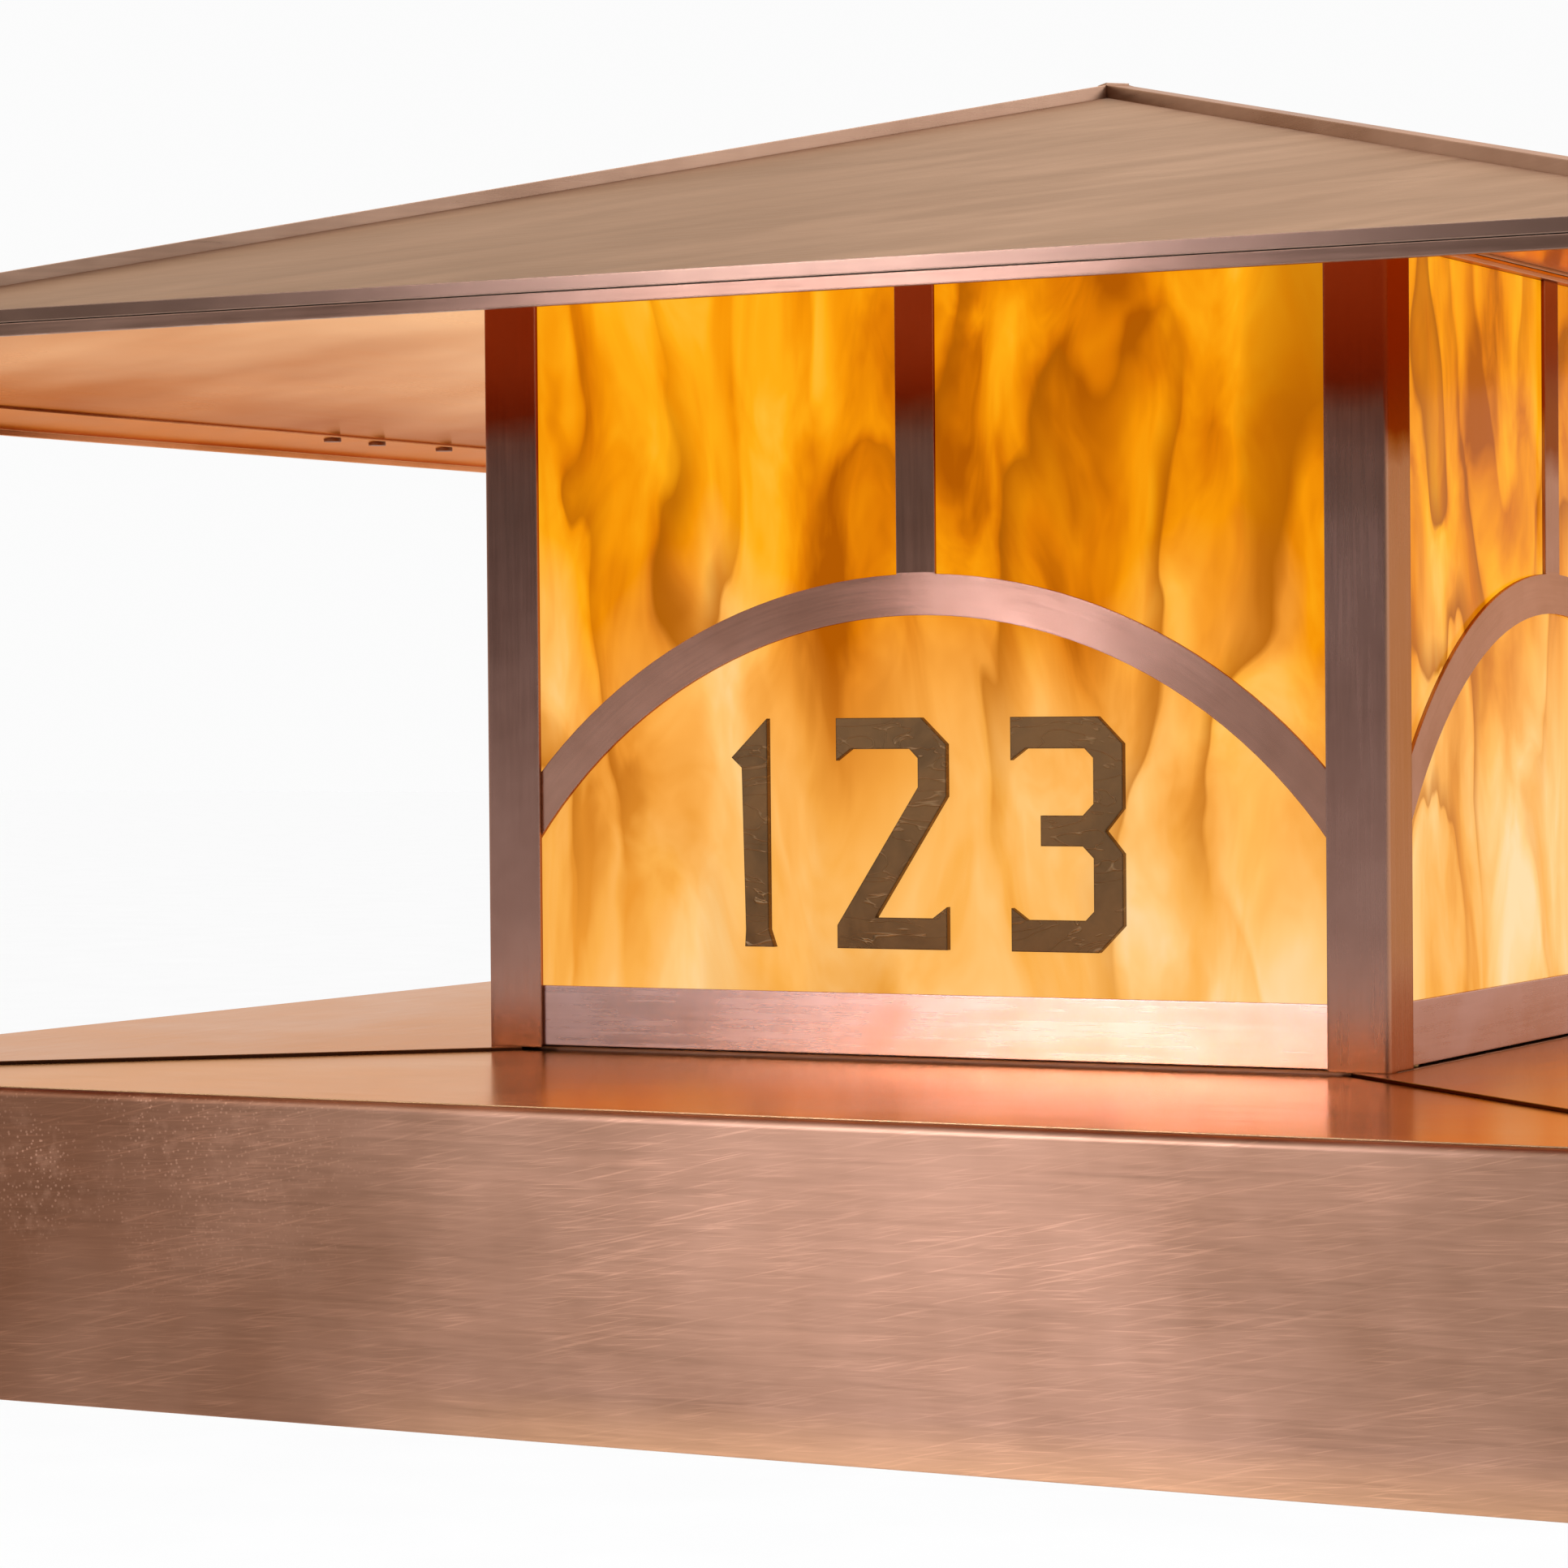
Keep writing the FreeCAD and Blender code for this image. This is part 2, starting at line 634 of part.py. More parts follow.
# ---------------------------------------------------------------- numerals
NUMERALS = {
    # each corner is a fraction of the numeral's height: across, then up
    "numeral_one": (-63.7, [
        (0.06, 0.0), (0.204, 0.0), (0.178, 0.075), (0.176, 1.0), (0.0, 0.83), (0.05, 0.785), (0.065, 0.075)]),
    "numeral_two": (-27.2, [
        (0.0, 0.0), (0.53, 0.0), (0.53, 0.185), (0.46, 0.135), (0.185, 0.135), (0.53, 0.66), (0.53, 0.885),
        (0.41, 1.0), (0.0, 1.0), (0.0, 0.815), (0.07, 0.865), (0.355, 0.865), (0.395, 0.825), (0.395, 0.70),
        (0.0, 0.1)]),
    "numeral_three": (31.8, [
        (0.0, 0.0), (0.405, 0.0), (0.52, 0.115), (0.52, 0.42), (0.44, 0.515), (0.52, 0.61), (0.52, 0.885),
        (0.405, 1.0), (0.0, 1.0), (0.0, 0.815), (0.07, 0.865), (0.345, 0.865), (0.385, 0.825), (0.385, 0.63),
        (0.335, 0.58), (0.14, 0.58), (0.14, 0.45), (0.335, 0.45), (0.385, 0.40), (0.385, 0.175),
        (0.345, 0.135), (0.07, 0.135), (0.0, 0.185)]),
}


def make_numerals():
    height, low = cell("numeral_height"), cell("numeral_low")
    back = HALF - 2 * cell("post_sheet") + HAIR
    for name, (left, corners) in NUMERALS.items():
        outline = [(left + height * across, low + height * up) for across, up in corners]
        numeral = prism("XZ_Plane", outline, cell("numeral_sheet"), back)
        node(on_lantern(numeral), name)


# ---------------------------------------------------------------- lamp
def make_lamp():
    """A lamp on a threaded nipple that stands in the lantern's floor."""
    make_nipple()
    make_socket()
    make_bulb()


def make_nipple():
    radius, length = cell("nipple_radius"), cell("nipple_length")
    low = cell("socket_low") + NIPPLE_GRIP - length
    nipple = cut(cylinder(radius, length, 0, 0, low),
                 cylinder(cell("nipple_bore"), length + 2 * PAST, 0, 0, low - PAST))
    node(on_lantern(nipple), "lamp_nipple")
    nuts = []
    height = cell("nut_height")
    for start in (as_size(0), FRAME_TOP - height):
        hexagon = doc.addObject("Part::Prism", "hexagon")
        hexagon.Polygon = 6
        bind(hexagon, "Circumradius", cell("nut_radius"))
        bind(hexagon, "Height", height)
        place(hexagon, 0, 0, start)
        hole = cylinder(radius, height + 2 * PAST, 0, 0, start - PAST)
        nuts.append(on_lantern(cut(hexagon, hole)))
    node(group(nuts), "lamp_nuts")


def make_socket():
    low, height = cell("socket_low"), cell("socket_height")
    socket = cut(cylinder(cell("socket_radius"), height, 0, 0, low),
                 cylinder(cell("socket_bore"), height, 0, 0, SOCKET_BORE_LOW),
                 cylinder(cell("nipple_radius"), NIPPLE_GRIP + PAST, 0, 0, low - PAST))
    node(on_lantern(socket), "lamp_socket")


def make_bulb():
    gap = 2 * PAST
    base = cylinder(cell("bulb_base_radius"), cell("socket_bore_depth") - gap, 0, 0, SOCKET_BORE_LOW + gap)
    neck = doc.addObject("Part::Cone", "neck")
    bind(neck, "Radius1", cell("bulb_base_radius"))
    bind(neck, "Radius2", cell("bulb_radius") * BULB_NECK_SHARE)
    bind(neck, "Height", cell("bulb_neck"))
    place(neck, 0, 0, cell("socket_low") + cell("socket_height"))
    globe = doc.addObject("Part::Sphere", "globe")
    bind(globe, "Radius", cell("bulb_radius"))
    place(globe, 0, 0, cell("bulb_centre"))
    node(on_lantern(fuse(base, neck, globe)), "lamp_bulb")


# ---------------------------------------------------------------- roof
def roof_top(distance):
    """Height of the roof's upper face at a plan distance from the ridge or peak, past the break."""
    return EAVE_TOP + FLARE_SLOPE * (EAVE - distance)


def soffit_under(distance):
    """Height of the soffit's lower face at a plan distance from the ridge or peak."""
    return cell("soffit_low") + SOFFIT_SLOPE * (SOFFIT_OUTER - distance)


def front_strip(profile, mitre):
    """A roof-like strip along the front: its profile padded along X and mitred at both ends.

    profile lists (distance out from the peak, height); mitre is how far the cut stands off
    the 45 degree line, measured along Y.
    """
    outline = [(-distance, height) for distance, height in profile]
    body = prism("YZ_Plane", outline, 2 * (EAVE + EAVE_SPARE), 0.0, None, True)
    slot_end = EAVE - SLOT_STOP
    far = EAVE + MITRE_SPARE
    right = [(slot_end - mitre, -slot_end), (slot_end, -slot_end), (far, -far), (far, far)]
    left = [(-across, along) for across, along in reversed(right)]
    return trim(body, "XY_Plane", [(0, -mitre)] + right + left)


def side_strip(profile, mitre, side):
    """The same along one side, from the mitre at the front to the wall."""
    outline = [(side * distance, height) for distance, height in profile]
    back = WALL_Y - cell("wall_clearance")
    body = prism("XZ_Plane", outline, back + EAVE + EAVE_SPARE, -back)
    slot_end = EAVE - SLOT_STOP
    far = EAVE + MITRE_SPARE
    points = [(0, mitre), (side * slot_end, mitre - slot_end), (side * slot_end, -slot_end),
              (side * far, -far), (side * far, -2 * far), (0, -2 * far)]
    return trim(body, "XY_Plane", points)


def roof_profile(start):
    peak = cell("peak_height")
    fold_low = EAVE_TOP - cell("fold_height")
    return [(start, peak - ROOF_SLOPE * start), (BREAK, BREAK_TOP), (EAVE, EAVE_TOP), (EAVE, fold_low),
            (EAVE - SHEET, fold_low), (EAVE - SHEET, roof_top(EAVE - SHEET) - SHEET),
            (BREAK, BREAK_TOP - SHEET), (start, peak - ROOF_SLOPE * start - SHEET)]


def soffit_profile():
    thickness = cell("soffit_sheet")
    outer = EAVE - 2 * SHEET - HAIR
    return [(HALF, soffit_under(HALF)), (outer, soffit_under(outer)),
            (outer, soffit_under(outer) + thickness), (HALF, soffit_under(HALF) + thickness)]


def trim_profile():
    """The eave trim: a bead below the roof's folded edge, a lip and a flange under the soffit."""
    low = cell("fascia_low")
    bead_top = EAVE_TOP - cell("fold_height") - cell("groove")
    step = EAVE - SHEET
    inner = EAVE - 2 * SHEET
    flange_end = inner - cell("trim_flange")
    thickness = cell("soffit_sheet")
    return [(EAVE, low), (EAVE, bead_top), (step, bead_top), (step, soffit_under(step)),
            (flange_end, soffit_under(flange_end)), (flange_end, soffit_under(flange_end) - thickness),
            (inner, soffit_under(inner) - thickness), (inner, low)]


def make_roof_skin():
    stand_off = BATTEN_HALF * math.sqrt(2)
    node(on_lantern(front_strip(roof_profile(as_size(0)), stand_off)), "roof_front")
    node(on_lantern(front_strip(soffit_profile(), as_size(SOFFIT_SEAM))), "soffit_front")
    node(on_lantern(front_strip(trim_profile(), as_size(TRIM_SEAM))), "eave_trim_front")
    for side, name in ((-1, "left"), (1, "right")):
        node(on_lantern(side_strip(roof_profile(BATTEN_HALF), stand_off, side)), f"roof_{name}")
        node(on_lantern(side_strip(soffit_profile(), as_size(SOFFIT_SEAM), side)), f"soffit_{name}")
        node(on_lantern(side_strip(trim_profile(), as_size(TRIM_SEAM), side)), f"eave_trim_{name}")


def make_hip_battens():
    """Raised strips that fill the slot between two roof panels along each hip."""
    diagonal = math.sqrt(2)
    rise = cell("batten_rise")
    start = BATTEN_HALF / diagonal
    slot_end = EAVE - SLOT_STOP - BATTEN_HALF * diagonal
    end = EAVE - BATTEN_HALF / diagonal
    start_top = cell("peak_height") - ROOF_SLOPE * start
    profile = [(start, start_top + rise), (BREAK, BREAK_TOP + rise), (end, roof_top(end) + rise),
               (end, roof_top(end)), (slot_end, roof_top(slot_end)), (slot_end, roof_top(slot_end) - SHEET),
               (BREAK, BREAK_TOP - SHEET), (start, start_top - SHEET)]
    outline = [(distance * diagonal, height) for distance, height in profile]
    for name, angle in (("left", -135), ("right", -45)):
        batten = prism("XZ_Plane", outline, cell("batten_width"), 0.0, None, True)
        node(on_lantern(batten, angle), f"hip_batten_{name}")


def make_ridge():
    """The ridge batten from the wall to the peak, with a pointed end that closes the peak."""
    peak = cell("peak_height")
    point = BATTEN_HALF * math.sqrt(2)
    low = peak - ROOF_SLOPE * BATTEN_HALF - SHEET
    right = [(BATTEN_HALF, WALL_Y - cell("wall_clearance")), (BATTEN_HALF, point - BATTEN_HALF), (point, 0)]
    left = [(-across, along) for across, along in reversed(right)]
    batten = prism("XY_Plane", right + [(0, -point)] + left, peak + cell("batten_rise") - low, low)
    node(on_lantern(batten), "ridge_batten")


def make_gable():
    """The sheet that closes the attic at the wall, between the soffits and the roof."""
    outer = BREAK - GABLE_INSET
    back = WALL_Y - cell("wall_clearance")
    thickness = cell("soffit_sheet")
    peak = cell("peak_height")
    right = [(HALF, soffit_under(HALF) + thickness), (outer, soffit_under(outer) + thickness),
             (outer, peak - ROOF_SLOPE * outer - SHEET),
             (BATTEN_HALF, peak - ROOF_SLOPE * BATTEN_HALF - SHEET)]
    left = [(-across, up) for across, up in reversed(right)]
    node(on_lantern(prism("XZ_Plane", right + left, SHEET, -back)), "roof_gable")
    seat = cell("roof_seat")
    rear = slab((-HALF + HAIR, HALF + HAIR, seat - SHEET), (HALF - HAIR, back, seat))
    node(on_lantern(rear), "soffit_back")


def make_collar():
    """The square collar that centres the lift-off roof in the lantern's top frame."""
    outer = cell("collar_outer")
    inner = outer - SHEET
    seat = cell("roof_seat")
    low = seat - SHEET - cell("collar_depth")
    flange = block((-HALF, -HALF, seat - SHEET), (HALF, HALF, seat))
    sleeve = block((-outer, -outer, low), (outer, outer, seat))
    hollow = block((-inner, -inner, low - PAST), (inner, inner, seat + PAST))
    node(on_lantern(cut(fuse(flange, sleeve), hollow)), "roof_collar")


def make_tacks():
    """Solder tacks on the inner edge of the side trims, near the wall."""
    distance = EAVE - 2 * SHEET - cell("trim_flange") + TACK_INSET
    height = soffit_under(distance) - cell("soffit_sheet") - cell("tack_height")
    tacks = [cylinder(cell("tack_radius"), cell("tack_height") + TOUCH, side * distance, -place_y, height)
             for side in (-1, 1) for place_y in TACK_PLACES]
    node(group(tacks), "eave_tacks")


# ---------------------------------------------------------------- build, check and write
def build():
    make_back_plate()
    make_bushing()
    make_base_sides()
    make_base_floor()
    make_base_top()
    make_support_frame()
    make_mail_flap()
    make_hinge()
    make_bumpers()
    make_posts()
    make_rails()
    make_faces()
    make_clips()
    make_lantern_frame()
    make_lantern_screws()
    make_numerals()
    make_lamp()
    make_roof_skin()
    make_hip_battens()
    make_ridge()
    make_gable()
    make_collar()
    make_tacks()


def check():
    doc.recompute()
    for item in doc.Objects:
        if "Invalid" in item.State or "Error" in item.State:
            raise ValueError(f"{item.Name} ({item.Label}) failed: {item.State}")
    for item in nodes:
        shape = item.Shape
        if shape.isNull() or not shape.isValid() or not shape.Solids:
            raise ValueError(f"{item.Label} has no valid solid")
    if len({item.Label for item in nodes}) != len(nodes):
        raise ValueError("two sub-parts share a name")


def write():
    os.makedirs("parts", exist_ok=True)
    for item in nodes:
        item.Shape.exportStep(f"parts/{item.Label}.step")
    print(len(nodes), "sub-parts written")


build()
check()
write()
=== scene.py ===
"""Looks for the wall mounted mailbox: copper, art glass, lamp, studio and camera.

Metres, in the CAD frame: the wall is Y = 0, the front faces -Y and the lantern's posts stand on Z = 0.
"""

import math

import bmesh
import bpy
from mathutils import Matrix, Vector


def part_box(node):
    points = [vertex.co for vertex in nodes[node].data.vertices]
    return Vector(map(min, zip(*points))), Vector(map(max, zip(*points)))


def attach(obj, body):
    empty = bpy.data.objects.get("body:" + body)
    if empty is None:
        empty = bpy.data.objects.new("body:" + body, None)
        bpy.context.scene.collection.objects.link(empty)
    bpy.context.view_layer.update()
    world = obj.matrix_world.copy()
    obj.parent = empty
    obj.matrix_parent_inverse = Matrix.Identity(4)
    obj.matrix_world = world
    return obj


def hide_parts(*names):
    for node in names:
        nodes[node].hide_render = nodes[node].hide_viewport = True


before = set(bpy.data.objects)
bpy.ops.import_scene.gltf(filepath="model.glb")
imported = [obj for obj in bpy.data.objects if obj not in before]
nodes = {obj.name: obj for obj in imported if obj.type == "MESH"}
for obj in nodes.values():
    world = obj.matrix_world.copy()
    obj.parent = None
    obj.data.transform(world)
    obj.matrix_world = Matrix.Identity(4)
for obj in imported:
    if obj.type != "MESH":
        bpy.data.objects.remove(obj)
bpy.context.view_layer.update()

# ---------------------------------------------------------------- where things are
LANTERN_Y = -0.3048
SOCKET_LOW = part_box("lamp_socket")[0].z
SOCKET_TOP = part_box("lamp_socket")[1].z
BULB_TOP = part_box("lamp_bulb")[1].z
POST_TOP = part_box("post_front_left")[1].z
ARCH_CENTRE_Z = -0.0298
ARCH_INNER, ARCH_OUTER = 0.1646, 0.1778
FLOOR_Z = -1.2


# ---------------------------------------------------------------- shader building
class Graph:
    """A material's node tree, with short calls for the nodes used here."""

    def __init__(self, name):
        self.material = bpy.data.materials.new(name)
        self.material.use_nodes = True
        self.tree = self.material.node_tree
        self.tree.nodes.clear()
        output = self.add("ShaderNodeOutputMaterial")
        self.shader = self.add("ShaderNodeBsdfPrincipled")
        self.link(self.shader.outputs["BSDF"], output.inputs["Surface"])

    def add(self, kind, **settings):
        made = self.tree.nodes.new(kind)
        for key, value in settings.items():
            setattr(made, key, value)
        return made

    def link(self, source, target):
        self.tree.links.new(source, target)

    def put(self, socket, value):
        """Give a socket either another node's output or a plain value."""
        if isinstance(value, bpy.types.NodeSocket):
            self.link(value, socket)
        else:
            socket.default_value = value

    def position(self):
        return self.add("ShaderNodeTexCoord").outputs["Object"]

    def surface_normal(self):
        return self.add("ShaderNodeNewGeometry").outputs["Normal"]

    def scaled(self, vector, scale, offset=(0.0, 0.0, 0.0), turn=(0.0, 0.0, 0.0)):
        """Stretch a position; turn, in degrees, comes after the stretch."""
        made = self.add("ShaderNodeMapping")
        self.put(made.inputs["Vector"], vector)
        made.inputs["Scale"].default_value = scale
        made.inputs["Location"].default_value = offset
        made.inputs["Rotation"].default_value = [math.radians(angle) for angle in turn]
        return made.outputs["Vector"]

    def turned(self, vector, turn):
        return self.scaled(vector, (1.0, 1.0, 1.0), (0.0, 0.0, 0.0), turn)

    def noise(self, vector, scale, detail=2.0, roughness=0.5, distortion=0.0, colour=False):
        made = self.add("ShaderNodeTexNoise")
        self.put(made.inputs["Vector"], vector)
        made.inputs["Scale"].default_value = scale
        made.inputs["Detail"].default_value = detail
        made.inputs["Roughness"].default_value = roughness
        made.inputs["Distortion"].default_value = distortion
        return made.outputs["Color" if colour else "Fac"]

    def spots(self, vector, scale):
        made = self.add("ShaderNodeTexVoronoi", feature="F1")
        self.put(made.inputs["Vector"], vector)
        made.inputs["Scale"].default_value = scale
        return made.outputs["Distance"]

    def span(self, value, low, high, out_low=0.0, out_high=1.0):
        """Map low..high to out_low..out_high, held at both ends."""
        made = self.add("ShaderNodeMapRange")
        self.put(made.inputs["Value"], value)
        ends = (("From Min", low), ("From Max", high), ("To Min", out_low), ("To Max", out_high))
        for key, number in ends:
            made.inputs[key].default_value = number
        return made.outputs["Result"]

    def math(self, operation, first, second=0.0):
        made = self.add("ShaderNodeMath", operation=operation)
        self.put(made.inputs[0], first)
        self.put(made.inputs[1], second)
        return made.outputs["Value"]

    def add_mixed(self, factor, first, second):
        """A plain value between two others."""
        made = self.add("ShaderNodeMix", data_type="FLOAT")
        self.put(made.inputs[0], factor)
        self.put(made.inputs[2], first)
        self.put(made.inputs[3], second)
        return made.outputs[0]

    def vector_math(self, operation, first, second):
        made = self.add("ShaderNodeVectorMath", operation=operation)
        self.put(made.inputs[0], first)
        self.put(made.inputs[1], second)
        return made.outputs["Vector"]

    def mix(self, factor, first, second, blend="MIX"):
        made = self.add("ShaderNodeMix", data_type="RGBA", blend_type=blend)
        self.put(made.inputs["Factor"], factor)
        self.put(made.inputs[6], first if isinstance(first, bpy.types.NodeSocket) else (*first, 1.0))
        self.put(made.inputs[7], second if isinstance(second, bpy.types.NodeSocket) else (*second, 1.0))
        return made.outputs[2]

    def ramp(self, factor, stops):
        made = self.add("ShaderNodeValToRGB")
        self.put(made.inputs["Fac"], factor)
        elements = made.color_ramp.elements
        while len(elements) < len(stops):
            elements.new(0.5)
        for element, (place, colour) in zip(elements, stops):
            element.position = place
            element.color = (*colour, 1.0)
        return made.outputs["Color"]

    def axes(self, vector):
        made = self.add("ShaderNodeSeparateXYZ")
        self.put(made.inputs[0], vector)
        return made.outputs["X"], made.outputs["Y"], made.outputs["Z"]

    def joined(self, x, y, z):
        made = self.add("ShaderNodeCombineXYZ")
        for socket, value in zip(made.inputs, (x, y, z)):
            self.put(socket, value)
        return made.outputs["Vector"]

    def bump(self, height, strength, distance, normal=None):
        made = self.add("ShaderNodeBump")
        self.put(made.inputs["Height"], height)
        made.inputs["Strength"].default_value = strength
        made.inputs["Distance"].default_value = distance
        if normal is not None:
            self.link(normal, made.inputs["Normal"])
        return made.outputs["Normal"]

    def rounded(self, radius):
        """A normal that rounds the edges, and a mask that is 1 along them."""
        made = self.add("ShaderNodeBevel", samples=4)
        made.inputs["Radius"].default_value = radius
        plain = self.add("ShaderNodeNewGeometry").outputs["Normal"]
        dot = self.add("ShaderNodeVectorMath", operation="DOT_PRODUCT")
        self.link(made.outputs["Normal"], dot.inputs[0])
        self.link(plain, dot.inputs[1])
        return made.outputs["Normal"], self.span(dot.outputs["Value"], 0.995, 0.8)

    def painted_crevice_shade(self, distance):
        """A mask for painted shade: 1 deep in a seam or an inner corner and 0 in the open."""
        made = self.add("ShaderNodeAmbientOcclusion", samples=6)
        made.inputs["Distance"].default_value = distance
        return self.span(made.outputs["AO"], 0.62, 0.25)

    def set(self, **values):
        names = {"colour": "Base Color", "metal": "Metallic", "roughness": "Roughness",
                 "normal": "Normal", "anisotropy": "Anisotropic", "tangent": "Tangent",
                 "glow": "Emission Color", "glow_strength": "Emission Strength",
                 "coat": "Coat Weight", "coat_roughness": "Coat Roughness",
                 "specular": "Specular IOR Level", "tint": "Specular Tint", "ior": "IOR"}
        for key, value in values.items():
            if isinstance(value, tuple) and len(value) == 3:
                value = (*value, 1.0)
            self.put(self.shader.inputs[names[key]], value)
        return self.material


# how fast the brushed grain changes along and across the brushing, per metre
LONG, SHORT = 34.0, 1000.0
GRAINS = {"x": (LONG, SHORT, SHORT), "y": (SHORT, LONG, SHORT), "z": (SHORT, SHORT, LONG),
          "level": (LONG, LONG, SHORT)}
GRAIN_AXES = {"x": (1.0, 0.0, 0.0), "y": (0.0, 1.0, 0.0), "z": (0.0, 0.0, 1.0)}
# brown painted as shade in seams and inner corners
SEAM_SHADE_BROWN = (0.05, 0.018, 0.008)
# dark red painted below the roof as shade, with the orange soffit reflected in it
UNDER_ROOF_SHADE_RED = (0.23, 0.028, 0.0008)
# painted light on the posts: orange right faces and paler feet
POST_SIDE_ORANGE, POST_FOOT_PINK = (0.60, 0.28, 0.135), (0.58, 0.30, 0.225)
# painted shade at the band's left end, painted reflection along its lower edge
BAND_DARK, BAND_ORANGE = (0.165, 0.064, 0.032), (0.66, 0.35, 0.18)
# painted lantern light near the lantern and painted shade at the roof's corners
SOFFIT_PALE, SOFFIT_DARK = (1.0, 0.70, 0.46), (0.44, 0.15, 0.055)

# the painted under-roof shade fades out between these depths below the posts' tops, and lower down on right
# faces
UNDER_ROOF_FULL, UNDER_ROOF_END, UNDER_ROOF_RIGHT_DROP = 0.039, 0.049, 0.015

# turn in degrees and pattern offset of each set of short scratches
NICK_SETS = ((7.0, 0.2), (13.0, 1.7), (2.0, 4.1))
NICK_GRAIN = (48.0, 1900.0, 1900.0)


def across_grain(g, grain):
    """The direction in the surface that the brushing spreads reflections along."""
    if grain == "level":
        return g.joined(0.0, 0.0, 1.0)
    return g.vector_math("CROSS_PRODUCT", g.surface_normal(), GRAIN_AXES[grain])


def grain_height(g, place, grain):
    """Fine and coarse brushed scratches, from 0 to 1."""
    fine = g.noise(g.scaled(place, GRAINS[grain]), 1.0, 3.0, 0.6)
    stretch = tuple(value * 0.4 for value in GRAINS[grain])
    coarse = g.noise(g.scaled(place, stretch, (3.1, 1.7, 5.3), (0.0, 2.0, 2.0)), 1.0, 2.0, 0.5, 0.3)
    return g.math("ADD", g.math("MULTIPLY", fine, 0.6), g.math("MULTIPLY", coarse, 0.4))


def arch_place(g, place, level):
    """Position along and across the arch, a mask of the arch, and the direction across it."""
    x, y, z = g.axes(place)
    level_part = x if level == "x" else g.math("ADD", y, -LANTERN_Y)
    up = g.math("SUBTRACT", z, ARCH_CENTRE_Z)
    radius = g.math("SQRT", g.math("ADD", g.math("MULTIPLY", level_part, level_part),
                                   g.math("MULTIPLY", up, up)))
    angle = g.math("ARCTAN2", level_part, up)
    along = g.math("MULTIPLY", angle, ARCH_OUTER)
    inside = g.math("MULTIPLY", g.span(radius, ARCH_OUTER + 0.0002, ARCH_OUTER),
                    g.span(radius, ARCH_INNER - 0.0002, ARCH_INNER))
    across = g.joined(level_part, 0.0, up) if level == "x" else g.joined(0.0, level_part, up)
    return g.joined(along, 0.0, radius), inside, across


def cloudy(g, place, dark, light, scale):
    """Two sizes of soft patina clouds between a dark and a light colour, and the large clouds."""
    clouds = g.noise(place, scale, 4.0, 0.55, 0.6)
    small = g.noise(g.scaled(place, (1.0, 1.0, 1.0), (0.4, 0.9, 0.2)), scale * 5.0, 3.0, 0.6)
    tone = g.math("ADD", g.math("MULTIPLY", clouds, 0.7), g.math("MULTIPLY", small, 0.3))
    return g.mix(g.span(tone, 0.36, 0.64), dark, light), clouds


def grey_times(g, colour, grey):
    """A colour made lighter or darker by a number or a pattern."""
    return g.mix(1.0, colour, g.joined(grey, grey, grey), "MULTIPLY")


def speckled(g, place, colour, bright, weight):
    """Small light droplet marks, thickest near the left end of the band's top edge."""
    x, _, z = g.axes(place)
    patch = g.math("MULTIPLY", g.span(x, -0.05, -0.26), g.span(z, -0.066, -0.02))
    patch = g.math("MULTIPLY", patch, g.span(g.noise(place, 26.0, 3.0), 0.42, 0.58))
    drops = g.span(g.spots(place, 640.0), 0.30, 0.16)
    blots = g.span(g.noise(place, 210.0, 3.0, 0.6), 0.50, 0.70, 0.0, 0.4)
    marks = g.math("MULTIPLY", g.math("MAXIMUM", drops, blots), patch)
    return g.mix(g.math("MULTIPLY", marks, weight), colour, bright)


def smeared(g, place, colour, weight, turn):
    """Long faint wipe marks, along a direction turned by some degrees from +X."""
    slant = g.scaled(g.turned(place, turn), (4.0, 30.0, 30.0))
    wipes = g.noise(slant, 1.0, 4.0, 0.6, 1.0)
    return grey_times(g, colour, g.span(wipes, 0.36, 0.64, 1.0 - weight, 1.0 + weight))


def nicked(g, place, colour, weight):
    """Short fine bright scratches that slant a little down to the right, in patches."""
    marks = 0.0
    for turn, offset in NICK_SETS:
        slant = g.scaled(g.turned(place, (0.0, turn, 0.0)), NICK_GRAIN, (offset, offset, offset))
        line = g.span(g.noise(slant, 1.0, 1.0, 0.4), 0.60, 0.76)
        marks = g.math("MAXIMUM", line, marks)
    patch = g.span(g.noise(place, 21.0, 3.0, 0.6), 0.38, 0.62, 0.25, 1.0)
    bright = grey_times(g, colour, 1.55)
    return g.mix(g.math("MULTIPLY", g.math("MULTIPLY", marks, patch), weight), colour, bright)


def paint_under_roof_shade(g, place, colour):
    """Painted shade with a reflection of the orange soffit: the upright bars are painted dark red just below
    the roof, lower down on their right faces.
    """
    high = g.axes(place)[2]
    ragged = g.span(g.noise(place, 60.0, 2.0), 0.3, 0.7, -0.002, 0.002)
    drop = g.span(g.axes(g.surface_normal())[0], 0.3, 0.8, 0.0, UNDER_ROOF_RIGHT_DROP)
    level = g.math("ADD", g.math("ADD", high, ragged), drop)
    share = g.span(level, POST_TOP - UNDER_ROOF_END, POST_TOP - UNDER_ROOF_FULL)
    return g.mix(g.math("MULTIPLY", share, 0.9), colour, UNDER_ROOF_SHADE_RED)


def post_shade(g, place, colour):
    """Painted light: the posts' right faces are painted more orange, and every post a little paler at the
    foot.
    """
    high = g.axes(place)[2]
    ragged = g.span(g.noise(place, 40.0, 2.0), 0.3, 0.7, -0.003, 0.003)
    foot = g.span(g.math("ADD", high, ragged), 0.042, 0.006)
    right = g.span(g.axes(g.surface_normal())[0], 0.3, 0.8)
    colour = g.mix(g.math("MULTIPLY", right, 0.6), colour, POST_SIDE_ORANGE)
    return g.mix(g.math("MULTIPLY", foot, 0.5), colour, POST_FOOT_PINK)


